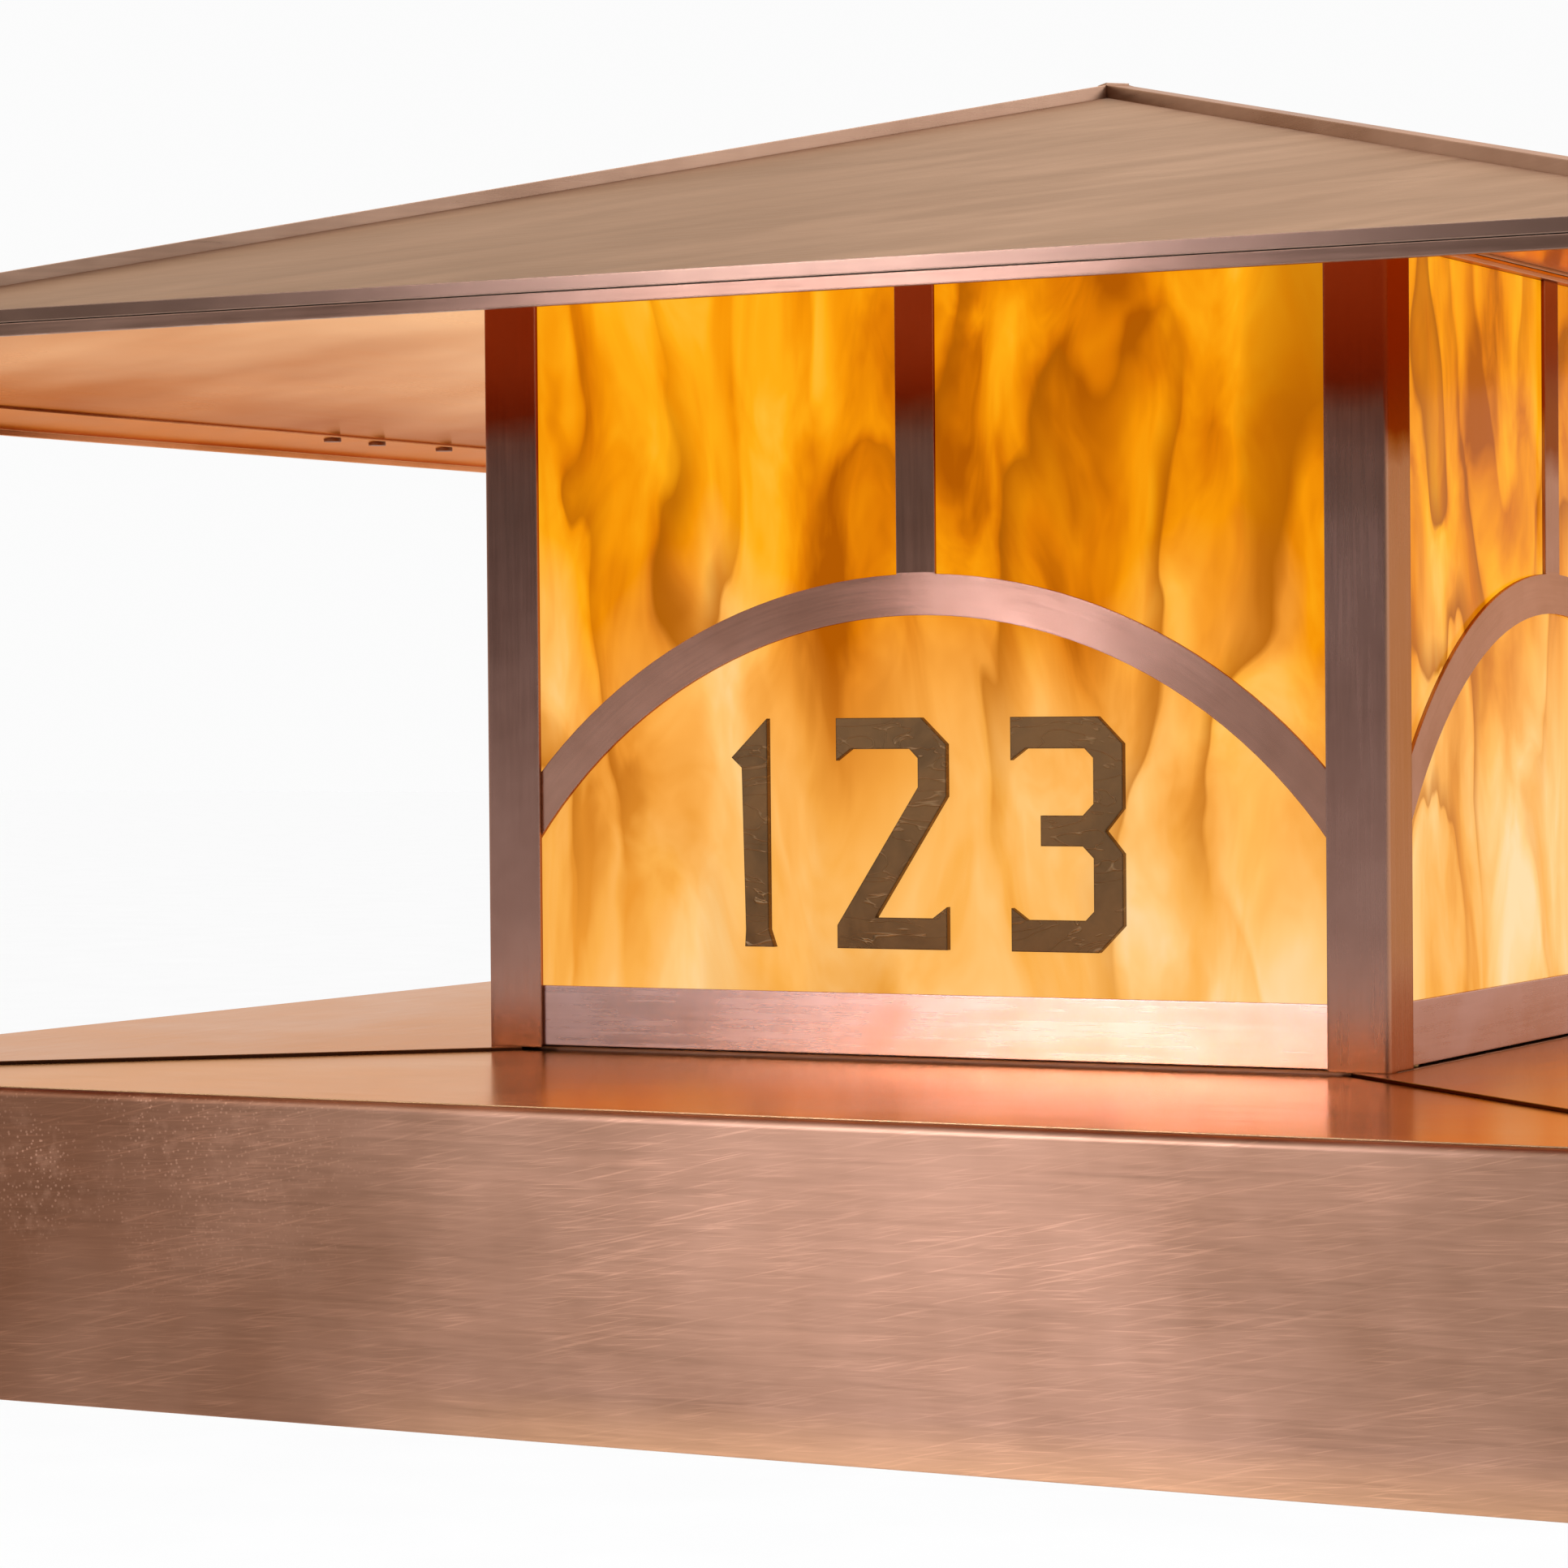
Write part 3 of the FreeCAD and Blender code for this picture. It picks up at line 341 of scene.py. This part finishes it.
def copper(name, dark, light, roughness, grain="level", anisotropy=0.8, clouds=9.0, scratch=0.08,
           dents=0.0, specks=0.0, smears=None, under_roof_shade=False, arch=None, upright=None, shade=None,
           tint=(0.86, 0.60, 0.46), edge=0.0005, relief=0.12, nicks=0.0):
    """Brushed copper sheet: streaks, soft clouds of patina, painted shade in the seams, and brighter edges
    that are partly wear and partly a painted highlight.

    Strengths: scratch for the grain's contrast, relief for its depth, dents, specks and nicks for
    those marks. smears holds a strength and a turn. upright is the darker colour painted on the
    upright faces as shade, arch the axis along an arch, shade a function that paints light and shade
    by place, tint the colour at grazing angles and edge the width of the lighter edges.
    """
    g = Graph(name)
    place = g.position()
    streaks = grain_height(g, place, grain)
    across = across_grain(g, grain)
    if arch:
        bent, inside, outward = arch_place(g, place, arch)
        streaks = g.add_mixed(inside, streaks, grain_height(g, bent, "x"))
        across = g.vector_math("NORMALIZE", g.mix(inside, across, outward), (0.0, 0.0, 0.0))
    colour, patina = cloudy(g, place, dark, light, clouds)
    # upright faces painted a darker colour: painted shade
    if upright:
        facing = g.math("ABSOLUTE", g.axes(g.surface_normal())[2])
        wall = g.span(facing, 0.7, 0.4)
        colour = g.mix(wall, colour, upright)
    if shade:
        colour = shade(g, place, colour)
        tint = shade(g, place, tint)
    if smears:
        colour = smeared(g, place, colour, *smears)
    colour = grey_times(g, colour, g.span(streaks, 0.3, 0.7, 1.0 - scratch, 1.0 + scratch))
    # painted shade and soffit reflection just below the roof
    if under_roof_shade:
        colour = paint_under_roof_shade(g, place, colour)
    if specks:
        colour = speckled(g, place, colour, tuple(min(1.0, value * 1.7) for value in light), specks)
    # lighter edges: partly wear, partly a painted highlight
    normal, edge_mask = g.rounded(edge)
    edge_wear_and_highlight = tuple(min(1.0, value * 1.35 + 0.05) for value in light)
    colour = g.mix(g.math("MULTIPLY", edge_mask, 0.6), colour, edge_wear_and_highlight)
    # painted shade darkens seams and inner corners
    colour = g.mix(g.math("MULTIPLY", g.painted_crevice_shade(0.0035), 0.85), colour, SEAM_SHADE_BROWN)
    rough = g.span(streaks, 0.3, 0.7, roughness * 0.88, roughness * 1.14)
    rough = g.math("ADD", rough, g.span(patina, 0.35, 0.65, -0.03, 0.03))
    if upright:
        rough = g.add_mixed(wall, rough, 0.22)
    if nicks:
        colour = nicked(g, place, colour, nicks)
    if dents:
        normal = g.bump(g.noise(place, 5.0, 1.5, 0.4), dents, 0.004, normal)
    normal = g.bump(streaks, relief, 0.00005, normal)
    return g.set(colour=colour, metal=1.0, roughness=rough, anisotropy=anisotropy,
                 tangent=across, normal=normal, tint=tint)


def band_shade(g, place, colour):
    """Painted shade and reflection: the band is painted darker and redder towards its left end, and more
    orange along its lower edge as a reflection of the warm surface below.
    """
    x, _, z = g.axes(place)
    drift = g.span(g.noise(place, 9.0, 4.0, 0.55), 0.3, 0.7, -0.05, 0.05)
    left = g.span(g.math("ADD", x, drift), 0.02, -0.20)
    low = g.math("MULTIPLY", g.span(z, -0.078, -0.092), g.span(x, -0.10, -0.02))
    colour = g.mix(g.math("MULTIPLY", left, 0.80), colour, BAND_DARK)
    return g.mix(g.math("MULTIPLY", low, 0.55), colour, BAND_ORANGE)


def soffit_shade(g, place, colour):
    """Painted lantern light and shade: the soffit is painted lighter near the lantern and darker towards the
    roof's corners.
    """
    x, y, _ = g.axes(place)
    across = g.math("ABSOLUTE", x)
    along = g.math("ABSOLUTE", g.math("ADD", y, -LANTERN_Y))
    wander = g.span(g.noise(place, 9.0, 3.0), 0.3, 0.7, -0.05, 0.05)
    near = g.span(g.math("ADD", g.math("MAXIMUM", across, along), wander), 0.40, 0.17)
    corner = g.span(g.math("ADD", across, along), 0.50, 0.78)
    colour = g.mix(near, colour, SOFFIT_PALE)
    return g.mix(g.math("MULTIPLY", corner, 0.55), colour, SOFFIT_DARK)


# ---------------------------------------------------------------- glass
UPPER_GLASS = [(0.35, (0.44, 0.10, 0.0003)), (0.42, (0.72, 0.195, 0.001)),
               (0.49, (0.91, 0.30, 0.002)), (0.57, (1.0, 0.42, 0.008)), (0.66, (1.0, 0.54, 0.05))]
LOWER_GLASS = [(0.35, (0.84, 0.32, 0.035)), (0.42, (0.94, 0.43, 0.075)),
               (0.49, (0.98, 0.50, 0.13)), (0.57, (1.0, 0.60, 0.22)), (0.66, (1.0, 0.70, 0.38))]


CURL_BROWN = (0.42, 0.11, 0.001)


def warped(g, place, scale, reach):
    """Push a position about by a smooth noise."""
    push = g.vector_math("SUBTRACT", g.noise(place, scale, 2.0, 0.5, 0.0, True), (0.5, 0.5, 0.5))
    return g.vector_math("ADD", place, g.vector_math("MULTIPLY", push, (reach, reach, reach)))


def folds(g, place, scale, turns):
    """Nested curls: a smooth noise cut into steps, each with one sharp dark edge that fades out."""
    value = g.noise(place, scale, 1.0, 0.4)
    rising = g.math("FRACT", g.math("MULTIPLY", value, turns))
    falling = g.math("MULTIPLY", g.math("SUBTRACT", 1.0, rising), 6.0)
    return g.math("SMOOTH_MIN", rising, falling)


def art_glass():
    """Amber glass with flame-like upright swirls and brown curls; the light from inside is painted on as the
    pane's own glow.
    """
    g = Graph("art_glass")
    place = g.position()
    flow = g.scaled(place, (1.0, 1.0, 0.40))
    bent = warped(g, flow, 11.0, 0.075)
    curled = warped(g, bent, 34.0, 0.024)
    body = g.noise(curled, 30.0, 4.0, 0.55, 0.3)
    flames = g.noise(warped(g, bent, 60.0, 0.010), 19.0, 3.0, 0.5, 0.5)
    steps = folds(g, curled, 9.0, 8.0)
    tone = g.math("ADD", g.math("MULTIPLY", body, 0.5), g.math("MULTIPLY", flames, 0.5))
    tone = g.math("ADD", tone, g.span(steps, 0.0, 0.8, -0.06, 0.03))
    upper = g.ramp(tone, UPPER_GLASS)
    lower = g.ramp(tone, LOWER_GLASS)
    height = g.axes(place)[2]
    wander = g.span(g.noise(bent, 11.0, 3.0), 0.3, 0.7, -0.055, 0.055)
    colour = g.mix(g.span(g.math("ADD", height, wander), 0.055, 0.150), lower, upper)
    patch = g.span(g.noise(flow, 13.0, 2.0), 0.43, 0.58)
    curls = g.math("MULTIPLY", g.span(steps, 0.24, 0.0), patch)
    curls = g.math("MULTIPLY", curls, g.span(height, 0.02, 0.14, 0.26, 0.85))
    colour = g.mix(curls, colour, CURL_BROWN)
    ripple = g.noise(g.scaled(place, (1.0, 1.0, 0.6)), 55.0, 2.0)
    dim = g.mix(1.0, colour, (0.08, 0.08, 0.04), "MULTIPLY")
    # the pane's glow is painted lamp light, in place of the bulb's light shining through
    return g.set(colour=dim, metal=0.0, roughness=g.span(body, 0.3, 0.7, 0.12, 0.22), ior=1.1,
                 specular=0.3, glow=colour, glow_strength=0.98, normal=g.bump(ripple, 0.2, 0.0005))


def lamp_glass():
    """Frosted bulb glass, warm and bright round its filament."""
    g = Graph("lamp_glass")
    place = g.position()
    height = g.axes(place)[2]
    frost = g.noise(place, 900.0, 2.0)
    warm = g.ramp(g.span(height, SOCKET_TOP, BULB_TOP),
                  [(0.0, (1.0, 0.62, 0.25)), (0.45, (1.0, 0.85, 0.6)), (1.0, (1.0, 0.93, 0.8))])
    return g.set(colour=g.mix(frost, (0.9, 0.86, 0.78), (1.0, 0.97, 0.9)), metal=0.0,
                 roughness=g.span(frost, 0.3, 0.7, 0.25, 0.4), glow=warm, glow_strength=3.0,
                 normal=g.bump(frost, 0.1, 0.0002))


# ---------------------------------------------------------------- other materials
def bronze():
    """Dark patinated metal foil with faint creases."""
    g = Graph("bronze_foil")
    place = g.position()
    clouds = g.noise(place, 60.0, 4.0, 0.6, 0.5)
    crease = g.noise(g.scaled(place, (40.0, 40.0, 130.0)), 1.0, 2.0, 0.5, 1.5)
    line = g.span(g.math("ABSOLUTE", g.math("SUBTRACT", crease, 0.5)), 0.02, 0.0)
    colour = g.mix(g.span(clouds, 0.35, 0.65), (0.115, 0.058, 0.016), (0.200, 0.105, 0.034))
    colour = g.mix(g.math("MULTIPLY", line, 0.5), colour, (0.34, 0.22, 0.10))
    normal, edge_mask = g.rounded(0.0007)
    colour = g.mix(g.math("MULTIPLY", edge_mask, 0.8), colour, (0.045, 0.018, 0.004))
    return g.set(colour=colour, metal=0.65, roughness=g.span(clouds, 0.3, 0.7, 0.38, 0.55),
                 normal=g.bump(g.math("ADD", clouds, line), 0.35, 0.0004, normal))


def plain_metal(name, dark, light, roughness, metal=1.0, grain_scale=160.0):
    """Cast, turned or painted metal with a fine mottle and lighter edges, partly wear and partly a painted
    highlight.
    """
    g = Graph(name)
    place = g.position()
    mottle = g.noise(place, grain_scale, 4.0, 0.6)
    patches = g.noise(place, grain_scale / 9.0, 3.0, 0.5, 0.5)
    tone = g.math("ADD", g.math("MULTIPLY", mottle, 0.4), g.math("MULTIPLY", patches, 0.6))
    normal, edge_mask = g.rounded(0.0004)
    colour = g.mix(g.span(tone, 0.36, 0.64), dark, light)
    # lighter edges: partly wear, partly a painted highlight
    edge_wear_and_highlight = tuple(min(1.0, value * 1.5 + 0.04) for value in light)
    colour = g.mix(g.math("MULTIPLY", edge_mask, 0.6), colour, edge_wear_and_highlight)
    rough = g.span(tone, 0.35, 0.65, roughness * 0.8, roughness * 1.2)
    return g.set(colour=colour, metal=metal, roughness=rough, normal=g.bump(mottle, 0.2, 0.0002, normal))


def rubber():
    """Black rubber with a little dust."""
    g = Graph("rubber")
    place = g.position()
    fine = g.noise(place, 900.0, 3.0)
    dust = g.noise(place, 70.0, 3.0, 0.6)
    colour = g.mix(g.span(dust, 0.4, 0.7), (0.012, 0.012, 0.013), (0.045, 0.043, 0.040))
    return g.set(colour=colour, metal=0.0, roughness=g.span(dust, 0.3, 0.7, 0.6, 0.85),
                 normal=g.bump(fine, 0.3, 0.0002))


def porcelain():
    """Glazed porcelain with a faint crackle and a few specks."""
    g = Graph("porcelain")
    place = g.position()
    clouds = g.noise(place, 40.0, 3.0)
    speck = g.span(g.spots(place, 260.0), 0.12, 0.05)
    colour = g.mix(g.span(clouds, 0.35, 0.65), (0.72, 0.68, 0.60), (0.86, 0.84, 0.79))
    colour = g.mix(g.math("MULTIPLY", speck, 0.5), colour, (0.30, 0.22, 0.14))
    return g.set(colour=colour, metal=0.0, roughness=g.span(clouds, 0.3, 0.7, 0.08, 0.18), coat=0.4,
                 normal=g.bump(clouds, 0.1, 0.0008))


# ---------------------------------------------------------------- which material goes where
# the top's orange is copper's own colour with a painted reflection of the glowing glass
TOP = ((0.72, 0.43, 0.22), (0.82, 0.51, 0.28), 0.22)
TOP_LOOK = {"anisotropy": 0.1, "clouds": 6.0, "scratch": 0.03, "relief": 0.05}
ROOF = ((0.285, 0.184, 0.128), (0.34, 0.226, 0.160), 0.40)
ROOF_LOOK = {"anisotropy": 0.5, "clouds": 3.0, "scratch": 0.05, "dents": 0.2,
             "smears": (0.10, (0.0, 0.0, -33.0)), "upright": (0.21, 0.12, 0.085), "tint": (0.78, 0.60, 0.47)}
# the soffit's orange is copper's own colour with the lantern's glow painted in
SOFFIT = ((0.54, 0.215, 0.090), (0.68, 0.30, 0.140), 0.24)
SOFFIT_LOOK = {"anisotropy": 0.4, "clouds": 7.0, "scratch": 0.04, "dents": 0.15, "shade": soffit_shade,
               "tint": (0.66, 0.31, 0.155)}
OVERLAY = ((0.37, 0.185, 0.13), (0.50, 0.27, 0.20), 0.21)
OVERLAY_LOOK = {"grain": "z", "anisotropy": 0.9, "clouds": 12.0, "scratch": 0.07, "under_roof_shade": True}

MATERIALS = {
    "band": copper("copper_band", (0.295, 0.152, 0.094), (0.435, 0.238, 0.158), 0.34, clouds=6.0,
                   scratch=0.09, dents=0.05, specks=0.6, smears=(0.045, (0.0, 6.0, 0.0)), nicks=0.6,
                   shade=band_shade),
    "top": copper("copper_top", *TOP, grain="x", tint=(0.84, 0.53, 0.31), **TOP_LOOK),
    "top_side": copper("copper_top_side", *TOP, grain="y", tint=(0.74, 0.46, 0.28),
                       upright=(0.075, 0.030, 0.015), **TOP_LOOK),
    "plain": copper("copper_plain", (0.48, 0.27, 0.18), (0.62, 0.37, 0.26), 0.32, anisotropy=0.4),
    "post": copper("copper_post", (0.25, 0.125, 0.095), (0.34, 0.185, 0.145), 0.24, grain="z",
                   clouds=12.0, scratch=0.05, under_roof_shade=True, shade=post_shade, edge=0.0012),
    "overlay_front": copper("copper_overlay_front", *OVERLAY, arch="x", **OVERLAY_LOOK),
    "overlay_side": copper("copper_overlay_side", *OVERLAY, arch="y", **OVERLAY_LOOK),
    "rail": copper("copper_rail", (0.53, 0.345, 0.30), (0.60, 0.435, 0.425), 0.27, clouds=14.0,
                   scratch=0.05, relief=0.08),
    "fascia": copper("copper_fascia", (0.17, 0.088, 0.06), (0.27, 0.155, 0.112), 0.22, clouds=6.0,
                     scratch=0.12),
    "roof": copper("copper_roof", *ROOF, grain="x", **ROOF_LOOK),
    "roof_side": copper("copper_roof_side", *ROOF, grain="y", **ROOF_LOOK),
    "hip": copper("copper_hip", (0.30, 0.175, 0.12), (0.44, 0.28, 0.20), 0.3, anisotropy=0.4, clouds=8.0),
    "soffit": copper("copper_soffit", *SOFFIT, grain="x", **SOFFIT_LOOK),
    "soffit_side": copper("copper_soffit_side", *SOFFIT, grain="y", **SOFFIT_LOOK),
    # the side trims' orange is copper's own colour with the lantern's glow painted in
    "trim_side": copper("copper_trim_side", (0.56, 0.20, 0.07), (0.74, 0.33, 0.16), 0.24, anisotropy=0.6,
                        tint=(0.84, 0.44, 0.22)),
    "solder": plain_metal("solder", (0.17, 0.055, 0.02), (0.30, 0.11, 0.045), 0.5),
    "brass": plain_metal("brass_fitting", (0.52, 0.36, 0.14), (0.72, 0.53, 0.25), 0.3),
    "clip": plain_metal("brass_clip", (0.45, 0.31, 0.12), (0.62, 0.45, 0.20), 0.35),
    "steel": plain_metal("steel_plate", (0.055, 0.05, 0.047), (0.10, 0.092, 0.086), 0.45, metal=0.3,
                         grain_scale=220.0),
    "bronze": bronze(),
    "rubber": rubber(),
    "porcelain": porcelain(),
    "lamp_glass": lamp_glass(),
    "art_glass": art_glass(),
}

# the first name that a node starts with gives its material
NODE_MATERIALS = (
    ("mail_flap", "band"), ("base_", "band"), ("top_front", "top"), ("top_back", "top"), ("top_", "top_side"),
    ("back_plate", "plain"), ("lantern_floor", "plain"), ("lantern_top_frame", "plain"),
    ("lantern_back_panel", "plain"), ("roof_gable", "plain"), ("roof_collar", "plain"),
    ("roof_seat_pads", "rubber"), ("flap_bumpers", "rubber"), ("cable_bushing", "rubber"),
    ("post_", "post"), ("overlay_front", "overlay_front"), ("overlay_", "overlay_side"),
    ("rail_", "rail"), ("glass_clips", "clip"),
    ("glass_", "art_glass"), ("numeral_", "bronze"), ("support_", "steel"), ("cross_bar", "steel"),
    ("hinge_", "brass"), ("lantern_screws", "brass"), ("lamp_nipple", "brass"), ("lamp_nuts", "brass"),
    ("lamp_socket", "porcelain"), ("lamp_bulb", "lamp_glass"),
    ("roof_front", "roof"), ("roof_left", "roof_side"), ("roof_right", "roof_side"),
    ("hip_", "hip"), ("ridge_", "hip"), ("eave_tacks", "solder"), ("eave_trim_front", "fascia"),
    ("eave_trim", "trim_side"),
    ("soffit_front", "soffit"), ("soffit_", "soffit_side"),
)


def dress_nodes():
    """Give every CAD node its material."""
    for name, item in nodes.items():
        key = next(key for start, key in NODE_MATERIALS if name.startswith(start))
        if not item.material_slots:
            item.data.materials.append(None)
        for place in item.material_slots:
            place.material = MATERIALS[key]


# ---------------------------------------------------------------- turned pieces
def turned(name, profile, centre, steps=48):
    """A piece turned round an upright axis from (radius, height) pairs."""
    mesh = bpy.data.meshes.new(name)
    shape = bmesh.new()
    rings = []
    for radius, height in profile:
        ring = []
        for step in range(steps):
            angle = 2 * math.pi * step / steps
            ring.append(shape.verts.new((centre[0] + radius * math.cos(angle),
                                         centre[1] + radius * math.sin(angle), centre[2] + height)))
        rings.append(ring)
    for lower, upper in zip(rings, rings[1:]):
        for step in range(steps):
            after = (step + 1) % steps
            shape.faces.new((lower[step], lower[after], upper[after], upper[step]))
    shape.faces.new(list(reversed(rings[0])))
    shape.faces.new(rings[-1])
    shape.normal_update()
    shape.to_mesh(mesh)
    shape.free()
    for face in mesh.polygons:
        face.use_smooth = True
    item = bpy.data.objects.new(name, mesh)
    bpy.context.scene.collection.objects.link(item)
    return item


def finish_piece(item, material, body, slot, *replaced):
    """Give a new piece its material and body, and hide the CAD nodes it stands in for. The slot argument is
    not used.
    """
    item.data.materials.append(MATERIALS[material])
    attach(item, body)
    if replaced:
        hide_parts(*replaced)


def make_bulb():
    """A frosted bulb: screw shell below, then the neck's smooth sweep and the globe."""
    low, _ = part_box("lamp_bulb")
    centre = (0.0, LANTERN_Y, low.z)
    height = BULB_TOP - low.z
    globe = 0.0295
    globe_height = height - globe - 0.0005
    neck, neck_low = 0.0121, 0.024
    sweep = globe_height - 0.0385
    profile = [(neck, neck_low)]
    for step in range(1, 8):
        share = step / 8
        ease = share * share * (3 - 2 * share)
        profile.append((neck + (globe * 0.87 - neck) * ease, neck_low + sweep * share))
    for step in range(19):
        angle = math.radians(-30 + 120 * step / 18 * 0.995)
        profile.append((globe * math.cos(angle), globe_height + globe * math.sin(angle)))
    glass = turned("bulb_glass", profile, centre)
    finish_piece(glass, "lamp_glass", "housing", "lamp_glass", "lamp_bulb")
    root, crest, pitch = 0.0118, 0.0126, 0.0033
    threads = [(0.0065, 0.0), (0.0115, 0.0018)]
    for turn in range(6):
        start = 0.0026 + turn * pitch
        threads += [(root, start), (crest, start + 0.0010)]
        threads += [(crest, start + 0.0016), (root, start + 0.0026)]
    threads += [(0.0122, neck_low)]
    shell = turned("bulb_shell", threads, centre)
    finish_piece(shell, "brass", "housing", "brass_fitting")


def make_socket():
    """A glazed socket with a foot, a waist, rounded shoulders and an open bore."""
    centre = (0.0, LANTERN_Y, SOCKET_LOW)
    height = SOCKET_TOP - SOCKET_LOW
    bore, floor = 0.0136, height - 0.026
    profile = [(0.0052, 0.0003), (0.0178, 0.0), (0.0198, 0.0012), (0.0200, 0.0035), (0.0198, 0.0070),
               (0.0182, 0.0085), (0.0178, 0.0100), (0.0180, 0.0200), (0.0188, 0.0330), (0.0198, 0.0400),
               (0.0200, height - 0.0030), (0.0194, height - 0.0008), (0.0180, height),
               (bore + 0.0010, height), (bore, height - 0.0010), (bore, floor), (0.0050, floor)]
    socket = turned("socket_body", profile, centre, 64)
    finish_piece(socket, "porcelain", "housing", "porcelain", "lamp_socket")


def make_seat_seal():
    """The metal weather strip that closes the gap between the lantern and the roof."""
    outer, inner = 0.1523, 0.1510
    chamfer = 0.0002
    flange_and_gap = 0.00105
    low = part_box("lantern_top_frame")[1].z
    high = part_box("roof_collar")[1].z - flange_and_gap
    mesh = bpy.data.meshes.new("seat_seal")
    shape = bmesh.new()
    profile = ((outer, low), (outer, high - chamfer), (outer - chamfer, high), (inner, high), (inner, low))
    rings = []
    for reach, height in profile:
        corners = ((-reach, -reach), (reach, -reach), (reach, reach), (-reach, reach))
        rings.append([shape.verts.new((x, LANTERN_Y + y, height)) for x, y in corners])
    for ring, after in zip(rings, rings[1:] + rings[:1]):
        for side in range(4):
            beyond = (side + 1) % 4
            shape.faces.new((ring[side], ring[beyond], after[beyond], after[side]))
    bmesh.ops.recalc_face_normals(shape, faces=shape.faces)
    shape.to_mesh(mesh)
    shape.free()
    item = bpy.data.objects.new("seat_seal", mesh)
    bpy.context.scene.collection.objects.link(item)
    finish_piece(item, "trim_side", "housing", "copper_soffit")


# ---------------------------------------------------------------- studio
def make_stage():
    """A wide pale floor well below the object."""
    mesh = bpy.data.meshes.new("floor")
    shape = bmesh.new()
    bmesh.ops.create_grid(shape, x_segments=8, y_segments=8, size=60.0)
    shape.to_mesh(mesh)
    shape.free()
    floor = bpy.data.objects.new("floor", mesh)
    bpy.context.scene.collection.objects.link(floor)
    floor.location.z = FLOOR_Z
    g = Graph("studio_floor")
    speckle = g.noise(g.position(), 3.0, 2.0)
    floor.data.materials.append(g.set(colour=g.mix(speckle, (0.90, 0.90, 0.90), (0.93, 0.93, 0.93)),
                                      roughness=0.9, specular=0.0))


def make_world():
    """A white room that is darker towards the front, seen as plain white behind the object."""
    world = bpy.data.worlds.new("studio")
    bpy.context.scene.world = world
    world.use_nodes = True
    tree = world.node_tree
    tree.nodes.clear()
    place = tree.nodes.new("ShaderNodeTexCoord").outputs["Generated"]
    split = tree.nodes.new("ShaderNodeSeparateXYZ")
    tree.links.new(place, split.inputs[0])

    def span(value, low, high, out_low, out_high):
        made = tree.nodes.new("ShaderNodeMapRange")
        made.interpolation_type = "SMOOTHSTEP"
        tree.links.new(value, made.inputs["Value"])
        for key, number in zip(("From Min", "From Max", "To Min", "To Max"), (low, high, out_low, out_high)):
            made.inputs[key].default_value = number
        return made.outputs["Result"]

    def blend(factor, low, high):
        made = tree.nodes.new("ShaderNodeMix")
        made.data_type = "FLOAT"
        tree.links.new(factor, made.inputs["Factor"])
        tree.links.new(low, made.inputs[2])
        made.inputs[3].default_value = high
        return made.outputs[0]

    front = span(split.outputs["X"], -0.34, -0.56, 0.19, 0.30)
    level = blend(span(split.outputs["Y"], -0.7, 0.2, 0.0, 1.0), front, 1.0)
    room = blend(span(split.outputs["Z"], 0.12, 0.75, 0.0, 1.0), level, 1.15)
    light = tree.nodes.new("ShaderNodeBackground")
    tree.links.new(room, light.inputs["Strength"])
    seen = tree.nodes.new("ShaderNodeBackground")
    seen.inputs["Strength"].default_value = 0.97
    for shader in (light, seen):
        shader.inputs["Color"].default_value = (1.0, 1.0, 1.0, 1.0)
    choose = tree.nodes.new("ShaderNodeMixShader")
    tree.links.new(tree.nodes.new("ShaderNodeLightPath").outputs["Is Camera Ray"], choose.inputs["Fac"])
    tree.links.new(light.outputs[0], choose.inputs[1])
    tree.links.new(seen.outputs[0], choose.inputs[2])
    tree.links.new(choose.outputs[0], tree.nodes.new("ShaderNodeOutputWorld").inputs["Surface"])


def add_light(name, place, target, width, height, power, colour=(1.0, 1.0, 1.0)):
    """A rectangular soft light that faces a target."""
    light = bpy.data.lights.new(name, "AREA")
    light.shape = "RECTANGLE"
    light.size, light.size_y = width, height
    light.energy = power
    light.color = colour
    item = bpy.data.objects.new(name, light)
    item.location = place
    item.rotation_mode = "QUATERNION"
    item.rotation_quaternion = (Vector(target) - Vector(place)).to_track_quat("-Z", "Y")
    bpy.context.scene.collection.objects.link(item)


def make_lights():
    centre = (0.0, -0.3, 0.1)
    add_light("key", (-0.97, -2.76, 0.80), centre, 0.40, 0.5, 14.0, (0.98, 1.03, 1.22))
    add_light("side", (-1.9, -1.9, 1.7), centre, 1.6, 1.2, 7.0)
    add_light("fill", (2.2, -1.4, 1.2), centre, 1.2, 1.2, 12.0)
    add_light("top", (0.0, -0.2, 2.4), centre, 2.0, 2.0, 24.0)


# ---------------------------------------------------------------- camera
CAMERA_PLACE = (0.6230, -1.7130, 0.1077)
CAMERA_YAW, CAMERA_DOWN, CAMERA_ROLL = 28.011, 0.967, -0.478
CAMERA_LENS, SENSOR = 105.9, 36.0


def make_camera():
    data = bpy.data.cameras.new("camera")
    data.lens = CAMERA_LENS
    data.sensor_width = SENSOR
    data.clip_start, data.clip_end = 0.05, 200.0
    item = bpy.data.objects.new("camera", data)
    turn = (Matrix.Rotation(math.radians(CAMERA_YAW), 4, "Z")
            @ Matrix.Rotation(math.radians(90.0 - CAMERA_DOWN), 4, "X")
            @ Matrix.Rotation(math.radians(CAMERA_ROLL), 4, "Z"))
    item.matrix_world = Matrix.Translation(CAMERA_PLACE) @ turn
    bpy.context.scene.collection.objects.link(item)
    bpy.context.scene.camera = item


dress_nodes()
make_bulb()
make_socket()
make_seat_seal()
make_stage()
make_world()
make_lights()
make_camera()
bpy.context.scene.view_settings.view_transform = "Standard"
